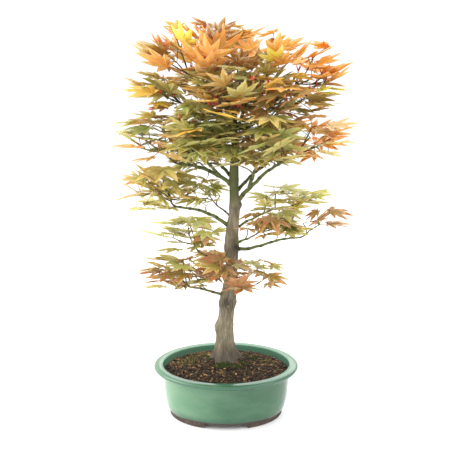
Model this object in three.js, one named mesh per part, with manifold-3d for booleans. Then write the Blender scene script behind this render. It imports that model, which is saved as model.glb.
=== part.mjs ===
// A Japanese maple trained as a bonsai, in autumn leaf, in an oval glazed pot.
//
// The trunk stands on mounded soil and rises in a slow S to a fork. Thin boughs leave it at set
// heights, and each carries one mass of foliage: a stem that divides into twigs, with a rosette of
// palmate leaves on long stalks at the tip of every twig. A seeded rule grows each mass inside an
// egg-shaped space of its own. Units are millimetres, +Z is up, and the pot stands on z = 0.

import * as THREE from "three";
import { mergeVertices } from "three/addons/utils/BufferGeometryUtils.js";
import Module from "manifold-3d";

const wasm = await Module();
wasm.setup();

// Pot: an oval 210 by 174, 72 high, on a low foot ring with a gap at the front and the back.
const POT = {
  length: 210,
  width: 174,
  height: 72,
  footHeight: 5,
  footGap: 62,
  wall: 6,
  rimOverhang: 13,
  segments: 32,
};
const DRAIN = { radius: 7, apart: 84, sides: 10 };
const SEAT_GAP = 0.3; // between pieces that touch

// Soil: its edge lies below the rim, and it is mounded under the trunk.
const SOIL = { belowRim: 8, moundTop: 76, moundRadius: 34, floor: 16 };

// Trunk: centre and radius at each height. The foot is a little right of and behind the pot's centre.
const TRUNK = [
  { z: 76.3, x: 1, y: 14, r: 15.2 },
  { z: 98, x: -1.5, y: 13, r: 14.4 },
  { z: 134, x: -0.8, y: 11, r: 12.5 },
  { z: 171, x: 3, y: 9, r: 11.8 },
  { z: 200, x: 6.5, y: 7.5, r: 10.3 },
  { z: 225, x: 8.5, y: 6.5, r: 9.7 },
  { z: 251, x: 8, y: 6, r: 11.2 },
  { z: 277, x: 9, y: 5.5, r: 9.9 },
  { z: 298, x: 11.8, y: 5, r: 8.4 },
  { z: 354, x: 11, y: 4.5, r: 7.6 },
  { z: 385, x: 12.5, y: 4.5, r: 6.6 },
  { z: 424, x: 12.5, y: 5, r: 4.4 },
  { z: 446, x: 13.5, y: 6, r: 2.6 },
];
const TRUNK_SIDES = 14;
const TRUNK_STEP = 13; // height of one ring of faces
const FLARE = { spread: 14, fade: 11, roots: 6, cut: 0.42 };
// Swellings on the trunk: a ring and a boss at the lowest boughs, a stub below, and two old wounds.
const KNOBS = [
  { z: 173, azimuth: 90, size: 1.2, tall: 7, wide: 400 },
  { z: 163, azimuth: 190, size: 3, tall: 7, wide: 50 },
  { z: 126, azimuth: 188, size: 2.6, tall: 9, wide: 45 },
  { z: 246, azimuth: -25, size: 3.2, tall: 8, wide: 50 },
  { z: 309, azimuth: -20, size: 3.6, tall: 7, wide: 45 },
];

// Places in the crown are given by azimuth (0 is right, 90 is away), distance out and height.
const AXIS = { x: 8, y: 5 };

// Boughs: where each starts, the place of its tip, its radii, and the slopes at which it leaves
// and arrives, in degrees.
const BOUGHS = [
  {
    name: "low_left", from: "trunk", at: 174,
    azimuth: -168, out: 61, z: 191, r: [2.1, 1.4], slopes: [12, 8],
  },
  {
    name: "second_left", from: "trunk", at: 206,
    azimuth: 151, out: 52, z: 232, r: [2.0, 1.3], slopes: [30, 20],
  },
  {
    name: "right_low", from: "trunk", at: 244,
    azimuth: -3, out: 92, z: 261, r: [2.7, 1.2], slopes: [-8, 2],
  },
  {
    name: "right_front", from: "trunk", at: 249,
    azimuth: -50, out: 40, z: 268, r: [2.0, 1.3], slopes: [30, 30],
  },
  {
    name: "right_back", from: "trunk", at: 268,
    azimuth: 34, out: 60, z: 290, r: [2.0, 1.3], slopes: [35, 15],
  },
  {
    name: "left_mid", from: "trunk", at: 272,
    azimuth: -170, out: 76, z: 307, r: [2.9, 1.5], slopes: [48, 6],
  },
  {
    name: "right_high", from: "trunk", at: 306,
    azimuth: -8, out: 74, z: 371, r: [3.3, 1.6], slopes: [55, 28],
  },
  {
    name: "back_right", from: "trunk", at: 322,
    azimuth: 42, out: 62, z: 356, r: [2.6, 1.5], slopes: [40, 18],
  },
  {
    name: "left_high", from: "trunk", at: 331,
    azimuth: -167, out: 74, z: 368, r: [3.1, 1.6], slopes: [50, 6],
  },
  {
    name: "back_left", from: "trunk", at: 342,
    azimuth: 127, out: 58, z: 372, r: [2.6, 1.5], slopes: [40, 18],
  },
  {
    name: "right_high_side", from: "right_high", at: 0.36,
    azimuth: -42, out: 56, z: 380, r: [2.3, 1.4], slopes: [72, 36],
  },
  {
    name: "left_high_side", from: "left_high", at: 0.34,
    azimuth: -140, out: 70, z: 388, r: [2.3, 1.4], slopes: [48, 26],
  },
  {
    name: "leader_right", from: "trunk", at: 362,
    azimuth: -5, out: 62, z: 434, r: [2.9, 1.5], slopes: [60, 34],
  },
  {
    name: "leader_left", from: "trunk", at: 370,
    azimuth: -174, out: 54, z: 440, r: [2.9, 1.5], slopes: [62, 34],
  },
  {
    name: "leader_front", from: "trunk", at: 378,
    azimuth: -99, out: 46, z: 437, r: [2.5, 1.4], slopes: [62, 36],
  },
  {
    name: "leader_back", from: "trunk", at: 384,
    azimuth: 84, out: 44, z: 436, r: [2.5, 1.4], slopes: [62, 36],
  },
  {
    name: "leader_front_right", from: "trunk", at: 392,
    azimuth: -48, out: 60, z: 438, r: [2.4, 1.4], slopes: [55, 30],
  },
  {
    name: "crown_left", from: "trunk", at: 399,
    azimuth: -171, out: 48, z: 478, r: [2.5, 1.3], slopes: [70, 48],
  },
  {
    name: "crown_right", from: "trunk", at: 407,
    azimuth: -27, out: 44, z: 477, r: [2.3, 1.3], slopes: [70, 48],
  },
  {
    name: "crown_back", from: "trunk", at: 414,
    azimuth: 92, out: 32, z: 477, r: [2.1, 1.2], slopes: [72, 55],
  },
  {
    name: "crown_front", from: "trunk", at: 420,
    azimuth: -122, out: 32, z: 480, r: [2.1, 1.2], slopes: [74, 58],
  },
  {
    name: "crown_far_right", from: "leader_right", at: 0.5,
    azimuth: -3, out: 74, z: 465, r: [2.1, 1.3], slopes: [66, 40],
  },
];
const BOUGH_SIDES = 5;
const BOUGH_STEPS = 5;

// Foliage: the bough that carries each mass (or the height on the trunk where its stem starts), the
// centre and the half sizes (outwards, sideways, up) of its space, how many twigs it has, the length
// of a leaf's middle lobe, and the slope of the blades in degrees.
const MASSES = [
  {
    name: "low_left", bough: "low_left",
    azimuth: -168, out: 72, z: 214, half: [66, 56, 34], twigs: 4, leaf: 42, slope: -12,
  },
  {
    name: "low_front", trunkAt: 180,
    azimuth: -100, out: 46, z: 218, half: [46, 52, 34], twigs: 3, leaf: 41, slope: -14,
  },
  {
    name: "low_right", trunkAt: 172,
    azimuth: -10, out: 46, z: 208, half: [48, 34, 22], twigs: 1, leaf: 36, slope: -8,
  },
  {
    name: "low_back", trunkAt: 190,
    azimuth: 112, out: 54, z: 228, half: [50, 48, 28], twigs: 2, leaf: 38, slope: -12,
  },
  {
    name: "second_left", bough: "second_left",
    azimuth: 160, out: 66, z: 256, half: [76, 50, 26], twigs: 4, leaf: 38, slope: -8,
  },
  {
    name: "right_front", bough: "right_front",
    azimuth: -42, out: 62, z: 288, half: [54, 56, 27], twigs: 3, leaf: 42, slope: -16,
  },
  {
    name: "right_tip", bough: "right_low",
    azimuth: -2, out: 132, z: 288, half: [48, 34, 24], twigs: 1, leaf: 36, slope: -4,
  },
  {
    name: "right_back", bough: "right_back",
    azimuth: 24, out: 98, z: 309, half: [76, 56, 28], twigs: 4, leaf: 38, slope: -10,
  },
  {
    name: "left_mid", bough: "left_mid",
    azimuth: -172, out: 100, z: 338, half: [70, 58, 36], twigs: 4, leaf: 42, slope: -10,
  },
  {
    name: "left_inner", trunkAt: 286,
    azimuth: 150, out: 44, z: 324, half: [40, 42, 28], twigs: 1, leaf: 34, slope: -6,
  },
  {
    name: "mid_left", bough: "left_high",
    azimuth: -177, out: 112, z: 407, half: [60, 58, 42], twigs: 4, leaf: 43, slope: -10,
  },
  {
    name: "mid_front_left", bough: "left_high_side",
    azimuth: -123, out: 78, z: 410, half: [58, 58, 44], twigs: 4, leaf: 44, slope: -18,
  },
  {
    name: "mid_front_right", bough: "right_high_side",
    azimuth: -52, out: 76, z: 406, half: [58, 58, 44], twigs: 4, leaf: 44, slope: -18,
  },
  {
    name: "mid_right", bough: "right_high",
    azimuth: -2, out: 122, z: 404, half: [62, 54, 40], twigs: 4, leaf: 43, slope: -8,
  },
  {
    name: "mid_back_right", bough: "back_right",
    azimuth: 46, out: 100, z: 392, half: [58, 60, 42], twigs: 3, leaf: 42, slope: -12,
  },
  {
    name: "mid_back_left", bough: "back_left",
    azimuth: 129, out: 97, z: 394, half: [60, 62, 42], twigs: 3, leaf: 42, slope: -12,
  },
  {
    name: "upper_left", bough: "leader_left",
    azimuth: -177, out: 92, z: 468, half: [62, 58, 36], twigs: 3, leaf: 43, slope: -2,
  },
  {
    name: "upper_front", bough: "leader_front",
    azimuth: -99, out: 80, z: 468, half: [54, 58, 36], twigs: 4, leaf: 45, slope: -12,
  },
  {
    name: "upper_front_right", bough: "leader_front_right",
    azimuth: -46, out: 90, z: 464, half: [54, 52, 36], twigs: 3, leaf: 44, slope: -10,
  },
  {
    name: "upper_right", bough: "leader_right",
    azimuth: -3, out: 104, z: 462, half: [64, 52, 34], twigs: 3, leaf: 43, slope: -2,
  },
  {
    name: "upper_back", bough: "leader_back",
    azimuth: 86, out: 80, z: 464, half: [58, 80, 38], twigs: 4, leaf: 43, slope: -6,
  },
  {
    name: "top_left", bough: "crown_left",
    azimuth: -174, out: 82, z: 518, half: [58, 54, 44], twigs: 4, leaf: 46, slope: 26,
  },
  {
    name: "top_front", bough: "crown_front",
    azimuth: -131, out: 52, z: 524, half: [48, 50, 44], twigs: 3, leaf: 48, slope: 40,
  },
  {
    name: "top_middle", trunkAt: 446,
    azimuth: 16, out: 18, z: 522, half: [42, 44, 42], twigs: 2, leaf: 44, slope: 50,
  },
  {
    name: "top_right", bough: "crown_right",
    azimuth: -28, out: 66, z: 514, half: [48, 50, 44], twigs: 3, leaf: 46, slope: 36,
  },
  {
    name: "top_far_right", bough: "crown_far_right",
    azimuth: -3, out: 110, z: 500, half: [56, 52, 42], twigs: 4, leaf: 45, slope: 24,
  },
  {
    name: "top_back", bough: "crown_back",
    azimuth: 92, out: 60, z: 518, half: [52, 62, 42], twigs: 4, leaf: 46, slope: 34,
  },
];

// Growth inside a mass. Its stem divides at a hub into twigs, and every twig ends in a bud with
// up to four leaves: one ahead, one back over the twig and one on either side.
const GROWTH = {
  hub: 0.42, // how far along from its start to the centre the stem divides
  spread: 0.4, // share of the space over which the twig tips are spread
  inward: 0.08, // how far nearer the trunk than the middle of the space the twig tips lie
  dome: 0.5, // how much lower the outer tips lie
  tipHeights: [-0.7, 0.4], // of the twig tips from the centre, in half heights
  tipSink: 0.003, // how much lower the tips lie for each degree that the blades point up
  leavesAtTip: 4,
  stalk: [8, 30],
  stalkSlopes: [10, 38], // of the first and of the second pair of leaves
  sizes: [0.98, 1.26],
  tilt: 8,
  lean: 10, // degrees by which level blades differ in their tilt, outwards and sideways
  stray: [30, 75], // degrees that a stalk strays from its side of the bud, at first and at most
  outward: 0.3, // how far a blade turns from its stalk's heading to the crown's outside
  twigTries: 8,
  tries: 60,
  shrink: 0.008, // of a leaf at each new try
  margin: 0.02, // round a blade's outline, as a share of its size
  apart: 0.9, // between a blade and what lies over or under it
  clearance: 1.5,
  share: 0.03,
};
const STEM = { radius: 1.5, sides: 4 };
const TWIG = { radius: 1.1, bud: 1.7, stalk: 0.7 };

// A leaf. Its outline is given from the middle lobe's tip round one side: the angle at the root,
// and the distance as a share of the middle lobe's length. Tips and notches take turns.
const LEAF = {
  half: [
    [0, 1],
    [20, 0.42],
    [41, 0.88],
    [64, 0.36],
    [92, 0.58],
  ],
  heel: [180, 0.05],
  thickness: 0.046,
  droop: 0.2,
};
const LOBES = LEAF.half
  .filter((_, i) => i % 2 === 0)
  .flatMap(([angle, reach]) => (angle ? [[angle, reach], [-angle, reach]] : [[angle, reach]]));

const GOLDEN_ANGLE = 2.399963;
const GOLDEN_SHARE = 0.618034;

const COLOURS = {
  glaze: 0x7fb99a,
  soil: 0x4a3326,
  bark: 0x9a8e7a,
  boughs: 0x6f6a35,
  low: 0xb0714e,
  middle: 0x86873a,
  top: 0xe8953f,
};

// Small helpers

const vec = (x, y, z) => new THREE.Vector3(x, y, z);
const radians = THREE.MathUtils.degToRad;
const UP = vec(0, 0, 1);

// A stream of even draws between two limits, the same every time for one seed.
function draws(seed) {
  let state = (seed * 48271 + 11) % 2147483647;
  return (low, high) => {
    state = (state * 16807) % 2147483647;
    return low + ((high - low) * state) / 2147483647;
  };
}

function place(azimuth, out, z) {
  const turn = radians(azimuth);
  return vec(AXIS.x + out * Math.cos(turn), AXIS.y + out * Math.sin(turn), z);
}

// The trunk's centre and radius at a height, on one smooth line through its stations.
function trunkAt(z) {
  const last = TRUNK.length - 1;
  let i = 0;
  while (i < last - 1 && z > TRUNK[i + 1].z) i += 1;
  const [a, b] = [TRUNK[i], TRUNK[i + 1]];
  const before = TRUNK[Math.max(0, i - 1)];
  const after = TRUNK[Math.min(last, i + 2)];
  const span = b.z - a.z;
  const t = (z - a.z) / span;
  const value = (key) => {
    const leave = ((b[key] - before[key]) / (b.z - before.z)) * span;
    const arrive = ((after[key] - a[key]) / (after.z - a.z)) * span;
    return (
      a[key] * (1 - 3 * t * t + 2 * t * t * t) +
      leave * (t - 2 * t * t + t * t * t) +
      b[key] * (3 * t * t - 2 * t * t * t) +
      arrive * (t * t * t - t * t)
    );
  };
  return { centre: vec(value("x"), value("y"), z), r: value("r") };
}

// A closed solid through rings that turn right-handed about its way. Each end is closed by a fan
// of faces, from the middle of a ring with many sides and from the first point of any other.
function loft(rings) {
  const sides = rings[0].length;
  const points = rings.flat();
  const faces = [];
  for (let i = 0; i < rings.length - 1; i += 1)
    for (let j = 0; j < sides; j += 1) {
      const [a, b] = [i * sides + j, i * sides + ((j + 1) % sides)];
      faces.push(a, b, b + sides, a, b + sides, a + sides);
    }
  const top = (rings.length - 1) * sides;
  if (sides <= 8) {
    for (let j = 1; j < sides - 1; j += 1) faces.push(0, j + 1, j, top, top + j, top + j + 1);
    return geometryOf(points, faces);
  }
  const start = points.length;
  for (const ring of [rings[0], rings[rings.length - 1]])
    points.push(ring.reduce((sum, p) => sum.add(p), vec(0, 0, 0)).divideScalar(sides));
  for (let j = 0; j < sides; j += 1) {
    const next = (j + 1) % sides;
    faces.push(start, next, j, start + 1, top + j, top + next);
  }
  return geometryOf(points, faces);
}

function geometryOf(points, faces) {
  const geometry = new THREE.BufferGeometry().setFromPoints(points);
  geometry.setIndex(faces);
  return geometry;
}

function solidOf(geometry) {
  const bare = geometry.clone();
  bare.deleteAttribute("normal");
  bare.deleteAttribute("uv");
  const merged = mergeVertices(bare, 1e-4);
  return new wasm.Manifold(
    new wasm.Mesh({
      numProp: 3,
      vertProperties: new Float32Array(merged.attributes.position.array),
      triVerts: new Uint32Array(merged.index.array),
    }),
  );
}

// A solid's faces are listed from the largest down.
function geometryFrom(solid) {
  const { numProp, vertProperties, triVerts } = solid.getMesh();
  const points = [];
  for (let i = 0; i < vertProperties.length; i += numProp)
    points.push(vec(...vertProperties.subarray(i, i + 3)));
  const faces = [];
  for (let i = 0; i < triVerts.length; i += 3) {
    const corners = [...triVerts.subarray(i, i + 3)];
    const area = new THREE.Triangle(...corners.map((corner) => points[corner])).getArea();
    faces.push({ corners, area });
  }
  faces.sort((a, b) => b.area - a.area);
  return geometryOf(points, faces.flatMap(({ corners }) => corners));
}

// The largest body of a solid: booleans can leave a loose scrap beside it.
function mainBody(solid) {
  return solid.decompose().sort((a, b) => b.volume() - a.volume())[0];
}

// A round limb along a curve, tapering from one radius to another.
function limb(curve, [first, last], sides, steps, grow = 0) {
  const { normals, binormals } = curve.computeFrenetFrames(steps);
  const rings = [];
  for (let i = 0; i <= steps; i += 1) {
    const t = i / steps;
    const centre = curve.getPoint(t);
    const radius = first + (last - first) * t + grow;
    const ring = [];
    for (let j = 0; j < sides; j += 1) {
      const angle = (2 * Math.PI * j) / sides;
      ring.push(
        centre
          .clone()
          .addScaledVector(normals[i], radius * Math.cos(angle))
          .addScaledVector(binormals[i], radius * Math.sin(angle)),
      );
    }
    rings.push(ring);
  }
  return loft(rings);
}

// Pot and soil

// A lathed form whose rings are ovals: every ring is shallower than it is long by the same amount.
function ovalLathe(profile) {
  const lathed = new THREE.LatheGeometry(
    profile.map(([radius, z]) => new THREE.Vector2(radius, z)),
    POT.segments,
  ).rotateX(Math.PI / 2);
  const shallower = (POT.length - POT.width) / 2;
  const at = lathed.attributes.position;
  for (let i = 0; i < at.count; i += 1) {
    const radius = Math.hypot(at.getX(i), at.getY(i));
    if (radius > 1) at.setY(i, (at.getY(i) * (radius - shallower)) / radius);
  }
  return lathed;
}

// Half the pot's length inside the wall at a height.
const innerHalf = (z) => {
  const { length, rimOverhang, wall, height } = POT;
  const low = Math.max(0, 1 - z / (height * 0.45));
  return length / 2 - rimOverhang - wall - 14 * low * low;
};

function pot() {
  const { length, height, footHeight, rimOverhang, wall, footGap } = POT;
  const rim = length / 2;
  const body = rim - rimOverhang;
  const floor = SOIL.floor - SEAT_GAP;
  const inside = [height - 6, height * 0.45, floor].map((z) => [innerHalf(z), z]);
  const shell = solidOf(
    ovalLathe([
      [0, footHeight],
      [body - 13, footHeight],
      [body - 6, footHeight + 3],
      [body - 1.5, footHeight + 12],
      [body, height * 0.45],
      [body, height - 14],
      [rim - 5, height - 10.5],
      [rim, height - 7],
      [rim, height - 3],
      [rim - 3.5, height],
      [rim - 11, height - 0.5],
      ...inside,
      [0, floor],
    ]),
  );
  const foot = solidOf(
    ovalLathe([
      [body - 27, 0],
      [body - 13, 0],
      [body - 14, footHeight + 3],
      [body - 27, footHeight + 3],
      [body - 27, 0],
    ]),
  );
  const gap = solidOf(new THREE.BoxGeometry(footGap, POT.width, 2 * footHeight));
  let solid = shell.add(foot.subtract(gap));
  for (const side of [-1, 1]) {
    const drain = new THREE.CylinderGeometry(DRAIN.radius, DRAIN.radius, 2 * SOIL.floor, DRAIN.sides);
    drain.rotateX(Math.PI / 2).translate((side * DRAIN.apart) / 2, 0, SOIL.floor);
    solid = solid.subtract(solidOf(drain));
  }
  return mainBody(solid);
}

// The soil fills the pot. Its mound is flat under the trunk, which stands off the pot's centre.
function soil() {
  const edge = POT.height - SOIL.belowRim;
  const { x, y } = TRUNK[0];
  const wallHeights = [SOIL.floor, POT.height * 0.45, edge];
  const lathed = ovalLathe([
    [0, SOIL.floor],
    ...wallHeights.map((z) => [innerHalf(z) - SEAT_GAP, z]),
    [innerHalf(edge) * 0.72, edge + 6],
    [SOIL.moundRadius, SOIL.moundTop],
    [0, SOIL.moundTop],
  ]);
  const at = lathed.attributes.position;
  const shallower = (POT.length - POT.width) / 2;
  for (let i = 0; i < at.count; i += 1) {
    const share = (at.getZ(i) - edge) / (SOIL.moundTop - edge);
    if (share <= 0) continue;
    const reach = Math.hypot(at.getX(i), at.getY(i));
    const onTop = share > 0.99 && reach > 1;
    // The mound's flat top is round, not oval.
    if (onTop) at.setY(i, (at.getY(i) * SOIL.moundRadius) / (SOIL.moundRadius - shallower));
    at.setXYZ(i, at.getX(i) + x * share, at.getY(i) + y * share, at.getZ(i));
  }
  return solidOf(lathed);
}

// Trunk and boughs

function trunkRadius(z, angle) {
  const above = z - TRUNK[0].z;
  let radius = trunkAt(z).r;
  const ridge = (1 - FLARE.cut) + FLARE.cut * Math.cos(FLARE.roots * angle + 0.9);
  radius += FLARE.spread * Math.exp(-above / FLARE.fade) * ridge;
  for (const knob of KNOBS) {
    const off = THREE.MathUtils.radToDeg(
      Math.atan2(Math.sin(angle - radians(knob.azimuth)), Math.cos(angle - radians(knob.azimuth))),
    );
    radius +=
      knob.size * Math.exp(-(((z - knob.z) / knob.tall) ** 2) - (off / knob.wide) ** 2);
  }
  return radius;
}

function trunk(grow = 0) {
  const [foot, tip] = [TRUNK[0].z, TRUNK[TRUNK.length - 1].z];
  const heights = [foot, foot + 3, foot + 7];
  for (let z = foot + 13; z < tip - TRUNK_STEP / 2; z += TRUNK_STEP) heights.push(z);
  heights.push(tip);
  const rings = heights.map((z, index) => {
    const ring = [];
    const ends = index === 0 ? -grow : index === heights.length - 1 ? grow : 0;
    for (let j = 0; j < TRUNK_SIDES; j += 1) {
      const angle = (2 * Math.PI * j) / TRUNK_SIDES;
      const radius = trunkRadius(z, angle) + grow;
      const { centre } = trunkAt(z);
      ring.push(
        centre.add(vec(radius * Math.cos(angle), radius * Math.sin(angle), ends)),
      );
    }
    return ring;
  });
  return solidOf(loft(rings));
}

const heading = (azimuth, slope) =>
  vec(
    Math.cos(radians(azimuth)) * Math.cos(radians(slope)),
    Math.sin(radians(azimuth)) * Math.cos(radians(slope)),
    Math.sin(radians(slope)),
  );

// A bough's line: it leaves its parent at one slope and arrives at its tip at another.
function boughCurve(bough, curves) {
  const start =
    bough.from === "trunk" ? trunkAt(bough.at).centre : curves[bough.from].getPoint(bough.at);
  const tip = place(bough.azimuth, bough.out, bough.z);
  const reach = start.distanceTo(tip) / 3;
  const turn = THREE.MathUtils.radToDeg(Math.atan2(tip.y - start.y, tip.x - start.x));
  return new THREE.CubicBezierCurve3(
    start,
    start.clone().addScaledVector(heading(turn, bough.slopes[0]), reach),
    tip.clone().addScaledVector(heading(turn, bough.slopes[1]), -reach),
    tip,
  );
}

// Foliage

// The frame of a mass's space: outwards, sideways and up.
function spaceOf(mass) {
  return {
    centre: place(mass.azimuth, mass.out, mass.z),
    ways: [heading(mass.azimuth, 0), heading(mass.azimuth + 90, 0), UP],
    half: mass.half,
  };
}

// How far out of its centre a point lies, where 1 is the edge of the space. The space is an egg
// that is fuller towards its corners.
function depthIn(space, point) {
  const from = point.clone().sub(space.centre);
  const shares = space.ways.map((way, i) => Math.abs(from.dot(way)) / space.half[i]);
  return Math.cbrt(shares.reduce((sum, share) => sum + share * share * share, 0));
}

// A point is a mass's own where it is inside that space and deeper in it than in any other.
function owns(spaces, index, point) {
  const own = depthIn(spaces[index], point);
  if (own > 1) return false;
  return spaces.every((space, i) => i === index || depthIn(space, point) > own + GROWTH.share);
}

// The shortest distance between two straight stretches.
function between(a, b, c, d) {
  const [u, v, w] = [b.clone().sub(a), d.clone().sub(c), a.clone().sub(c)];
  const [uu, uv, vv, uw, vw] = [u.dot(u), u.dot(v), v.dot(v), u.dot(w), v.dot(w)];
  const clamp = (value) => Math.min(1, Math.max(0, value));
  const even = uu * vv - uv * uv;
  let s = even > 1e-9 ? clamp((uv * vw - vv * uw) / even) : 0;
  const t = clamp((uv * s + vw) / vv);
  s = clamp((uv * t - uw) / uu);
  return w.addScaledVector(u, s).addScaledVector(v, -t).length();
}

// Stretches of a curve with their radii, as things to keep clear of.
function stretches(curve, [first, last], steps, owner) {
  const made = [];
  for (let i = 0; i < steps; i += 1)
    made.push({
      a: curve.getPoint(i / steps),
      b: curve.getPoint((i + 1) / steps),
      r: first + ((last - first) * i) / steps,
      owner,
    });
  return made;
}

const clearOf = (things, owner, a, b, wide) =>
  things.every(
    (thing) => thing.owner === owner || between(a, b, thing.a, thing.b) > thing.r + wide,
  );

// How high a twig's tip lies in its mass, from the lowest (share 0) to the highest (share 1).
function tipHeight(mass, share) {
  const [low, high] = GROWTH.tipHeights;
  return low + (high - low) * share - GROWTH.tipSink * mass.slope;
}

// A mass's stem: from its bough's tip, or from inside the trunk, to the hub where it divides.
function stemOf(mass, space, curves) {
  const bough = BOUGHS.find(({ name }) => name === mass.bough);
  let start;
  let way;
  let radius = STEM.radius;
  if (bough) {
    const curve = curves[bough.name];
    way = curve.getTangent(1);
    start = curve.getPoint(1).addScaledVector(way, SEAT_GAP);
    radius = bough.r[1];
  } else {
    start = trunkAt(mass.trunkAt).centre;
    way = space.centre.clone().sub(start).normalize();
  }
  const low = space.centre.clone().addScaledVector(UP, tipHeight(mass, 0.5) * mass.half[2]);
  const hub = start.clone().lerp(low, GROWTH.hub);
  const bend = start.clone().addScaledVector(way, start.distanceTo(hub) * 0.5);
  return { curve: new THREE.QuadraticBezierCurve3(start, bend, hub), radius };
}

// A point of a blade, which droops towards the tips of its lobes.
function leafPoint({ frame, size }, angle, reach, lift = 0) {
  const turn = radians(angle);
  return frame.root
    .clone()
    .addScaledVector(frame.way, size * reach * Math.cos(turn))
    .addScaledVector(frame.across, size * reach * Math.sin(turn))
    .addScaledVector(frame.up, lift - size * LEAF.droop * reach * reach);
}

// How far a blade reaches at an angle from its middle lobe.
function outlineReach(angle) {
  const turned = Math.abs(angle);
  const half = [...LEAF.half, LEAF.heel];
  const next = Math.max(1, half.findIndex(([end]) => end >= turned));
  const [[from, near], [to, far]] = [half[next - 1], half[next]];
  return near + ((far - near) * (turned - from)) / (to - from);
}

// The places at which a leaf is tried against its surroundings: along every lobe, in every notch.
const LEAF_TRIALS = LEAF.half.flatMap(([angle, reach], i) => {
  const shares = i % 2 === 0 ? [0.4, 0.7, 1] : [1];
  const sides = angle === 0 ? [0] : [angle, -angle];
  return sides.flatMap((side) => shares.map((share) => [side, reach * share]));
});

// Whether any of these points lies in a blade, or some lie over it and others under it.
function cutsThrough(points, leaf) {
  const { frame, size } = leaf;
  let seen = 0;
  return points.some((point) => {
    const from = point.clone().sub(frame.root);
    const [along, across] = [from.dot(frame.way), from.dot(frame.across)];
    const reach = Math.hypot(along, across) / size;
    const angle = THREE.MathUtils.radToDeg(Math.atan2(across, along));
    if (reach > outlineReach(angle) + GROWTH.margin) return false;
    const over = from.dot(frame.up) + size * LEAF.droop * reach * reach;
    if (Math.abs(over) < GROWTH.apart || over * seen < 0) return true;
    seen = over;
    return false;
  });
}

// One try at a leaf on a bud. The blades of a mass lie nearly parallel, tilted by its slope: they
// hang outwards low in the crown and stand up and outwards at its top.
function tryLeaf(mass, tip, azimuth, pair, attempt, draw) {
  const loose = 1 + attempt / 2;
  const stray = Math.min(GROWTH.stray[0] * loose, GROWTH.stray[1]);
  const turned = azimuth + draw(-stray, stray);
  const stalk = draw(...GROWTH.stalk);
  const size = mass.leaf * draw(...GROWTH.sizes) * (1 - attempt * GROWTH.shrink);
  const rise = GROWTH.stalkSlopes[pair] + Math.max(0, mass.slope) * 0.6 + draw(-6, 6) * loose;
  const root = tip.clone().addScaledVector(heading(turned, rise), stalk);
  const away = vec(root.x - AXIS.x, root.y - AXIS.y, 0).normalize();
  const outward = GROWTH.outward + Math.max(0, mass.slope) / 60;
  const flat = heading(turned, 0).addScaledVector(away, outward).normalize();
  const free = 1 + Math.max(0, mass.slope) / 16;
  const tilt = radians(mass.slope + draw(-GROWTH.tilt, GROWTH.tilt) * free);
  const lean = radians(draw(-GROWTH.lean, GROWTH.lean) * free);
  const up = UP.clone()
    .addScaledVector(away, -Math.tan(tilt))
    .addScaledVector(UP.clone().cross(away), Math.tan(lean))
    .normalize();
  const across = up.clone().cross(flat).normalize();
  const leaf = { tip, root, size, frame: { root, way: across.clone().cross(up), across, up } };
  leaf.trials = LEAF_TRIALS.map(([angle, reach]) => leafPoint(leaf, angle, reach));
  for (const share of [0.5, 0.8]) leaf.trials.push(tip.clone().lerp(root, share));
  return leaf;
}

// The twigs and leaves of one mass, worked out before any solid is made.
function growMass(mass, index, spaces, stem, things) {
  const draw = draws(index + 1);
  const space = spaces[index];
  const fits = (a, b, wide) => clearOf(things, mass.name, a, b, wide + GROWTH.clearance);
  const inSpace = (point) => owns(spaces, index, point);
  const twigs = [];
  const phase = draw(0, 2 * Math.PI);
  for (let i = 0; i < mass.twigs; i += 1)
    for (let attempt = 0; attempt < GROWTH.twigTries; attempt += 1) {
      const turn = phase + i * GOLDEN_ANGLE + (draw(-1, 1) * attempt) / 4;
      const reach = GROWTH.spread * Math.sqrt((i + 0.4) / mass.twigs) * draw(0.9, 1.1);
      const share = (0.37 + i * GOLDEN_SHARE + draw(0, 0.1) * attempt) % 1;
      const height = tipHeight(mass, share) - GROWTH.dome * reach * reach;
      const tip = space.centre
        .clone()
        .addScaledVector(space.ways[0], mass.half[0] * (reach * Math.cos(turn) - GROWTH.inward))
        .addScaledVector(space.ways[1], mass.half[1] * reach * Math.sin(turn))
        .addScaledVector(UP, mass.half[2] * height);
      const foot = stem.curve.getPoint(0.55 + (0.45 * (i + 1)) / mass.twigs);
      const bend = foot.clone().lerp(tip, 0.5);
      bend.z -= draw(0.02, 0.14) * foot.distanceTo(tip);
      if (!inSpace(tip) || !fits(foot, tip, 1)) continue;
      twigs.push({ foot, bend, tip, leaves: [] });
      break;
    }
  const wood = [stem.curve, ...twigs.map(twigCurve)].map((curve) => curve.getPoints(6));
  const leaves = [];
  const suits = (leaf) =>
    fits(leaf.tip, leaf.root, TWIG.stalk) &&
    leaf.trials.every(inSpace) &&
    LOBES.every(([angle, reach]) => {
      const middle = leafPoint(leaf, angle, reach * 0.5);
      const end = leafPoint(leaf, angle, reach);
      return fits(leaf.root, middle, leaf.size * 0.13) && fits(middle, end, leaf.size * 0.1);
    }) &&
    !wood.some((points) => cutsThrough(points, leaf)) &&
    !leaves.some((other) => cutsThrough(leaf.trials, other) || cutsThrough(other.trials, leaf));
  for (const twig of twigs) {
    const back = twig.bend.clone().sub(twig.tip);
    twig.facing = THREE.MathUtils.radToDeg(Math.atan2(back.y, back.x));
    for (let k = 0; k < GROWTH.leavesAtTip; k += 1)
      for (let attempt = 0; attempt < GROWTH.tries; attempt += 1) {
        const leaf = tryLeaf(mass, twig.tip, twig.facing + 90 * k, k % 2, attempt, draw);
        if (!suits(leaf)) continue;
        leaves.push(leaf);
        twig.leaves[k] = leaf;
        break;
      }
  }
  return { twigs: twigs.filter((twig) => twig.leaves.length > 0), leaves };
}

const twigCurve = ({ foot, bend, tip }) => new THREE.QuadraticBezierCurve3(foot, bend, tip);

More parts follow.
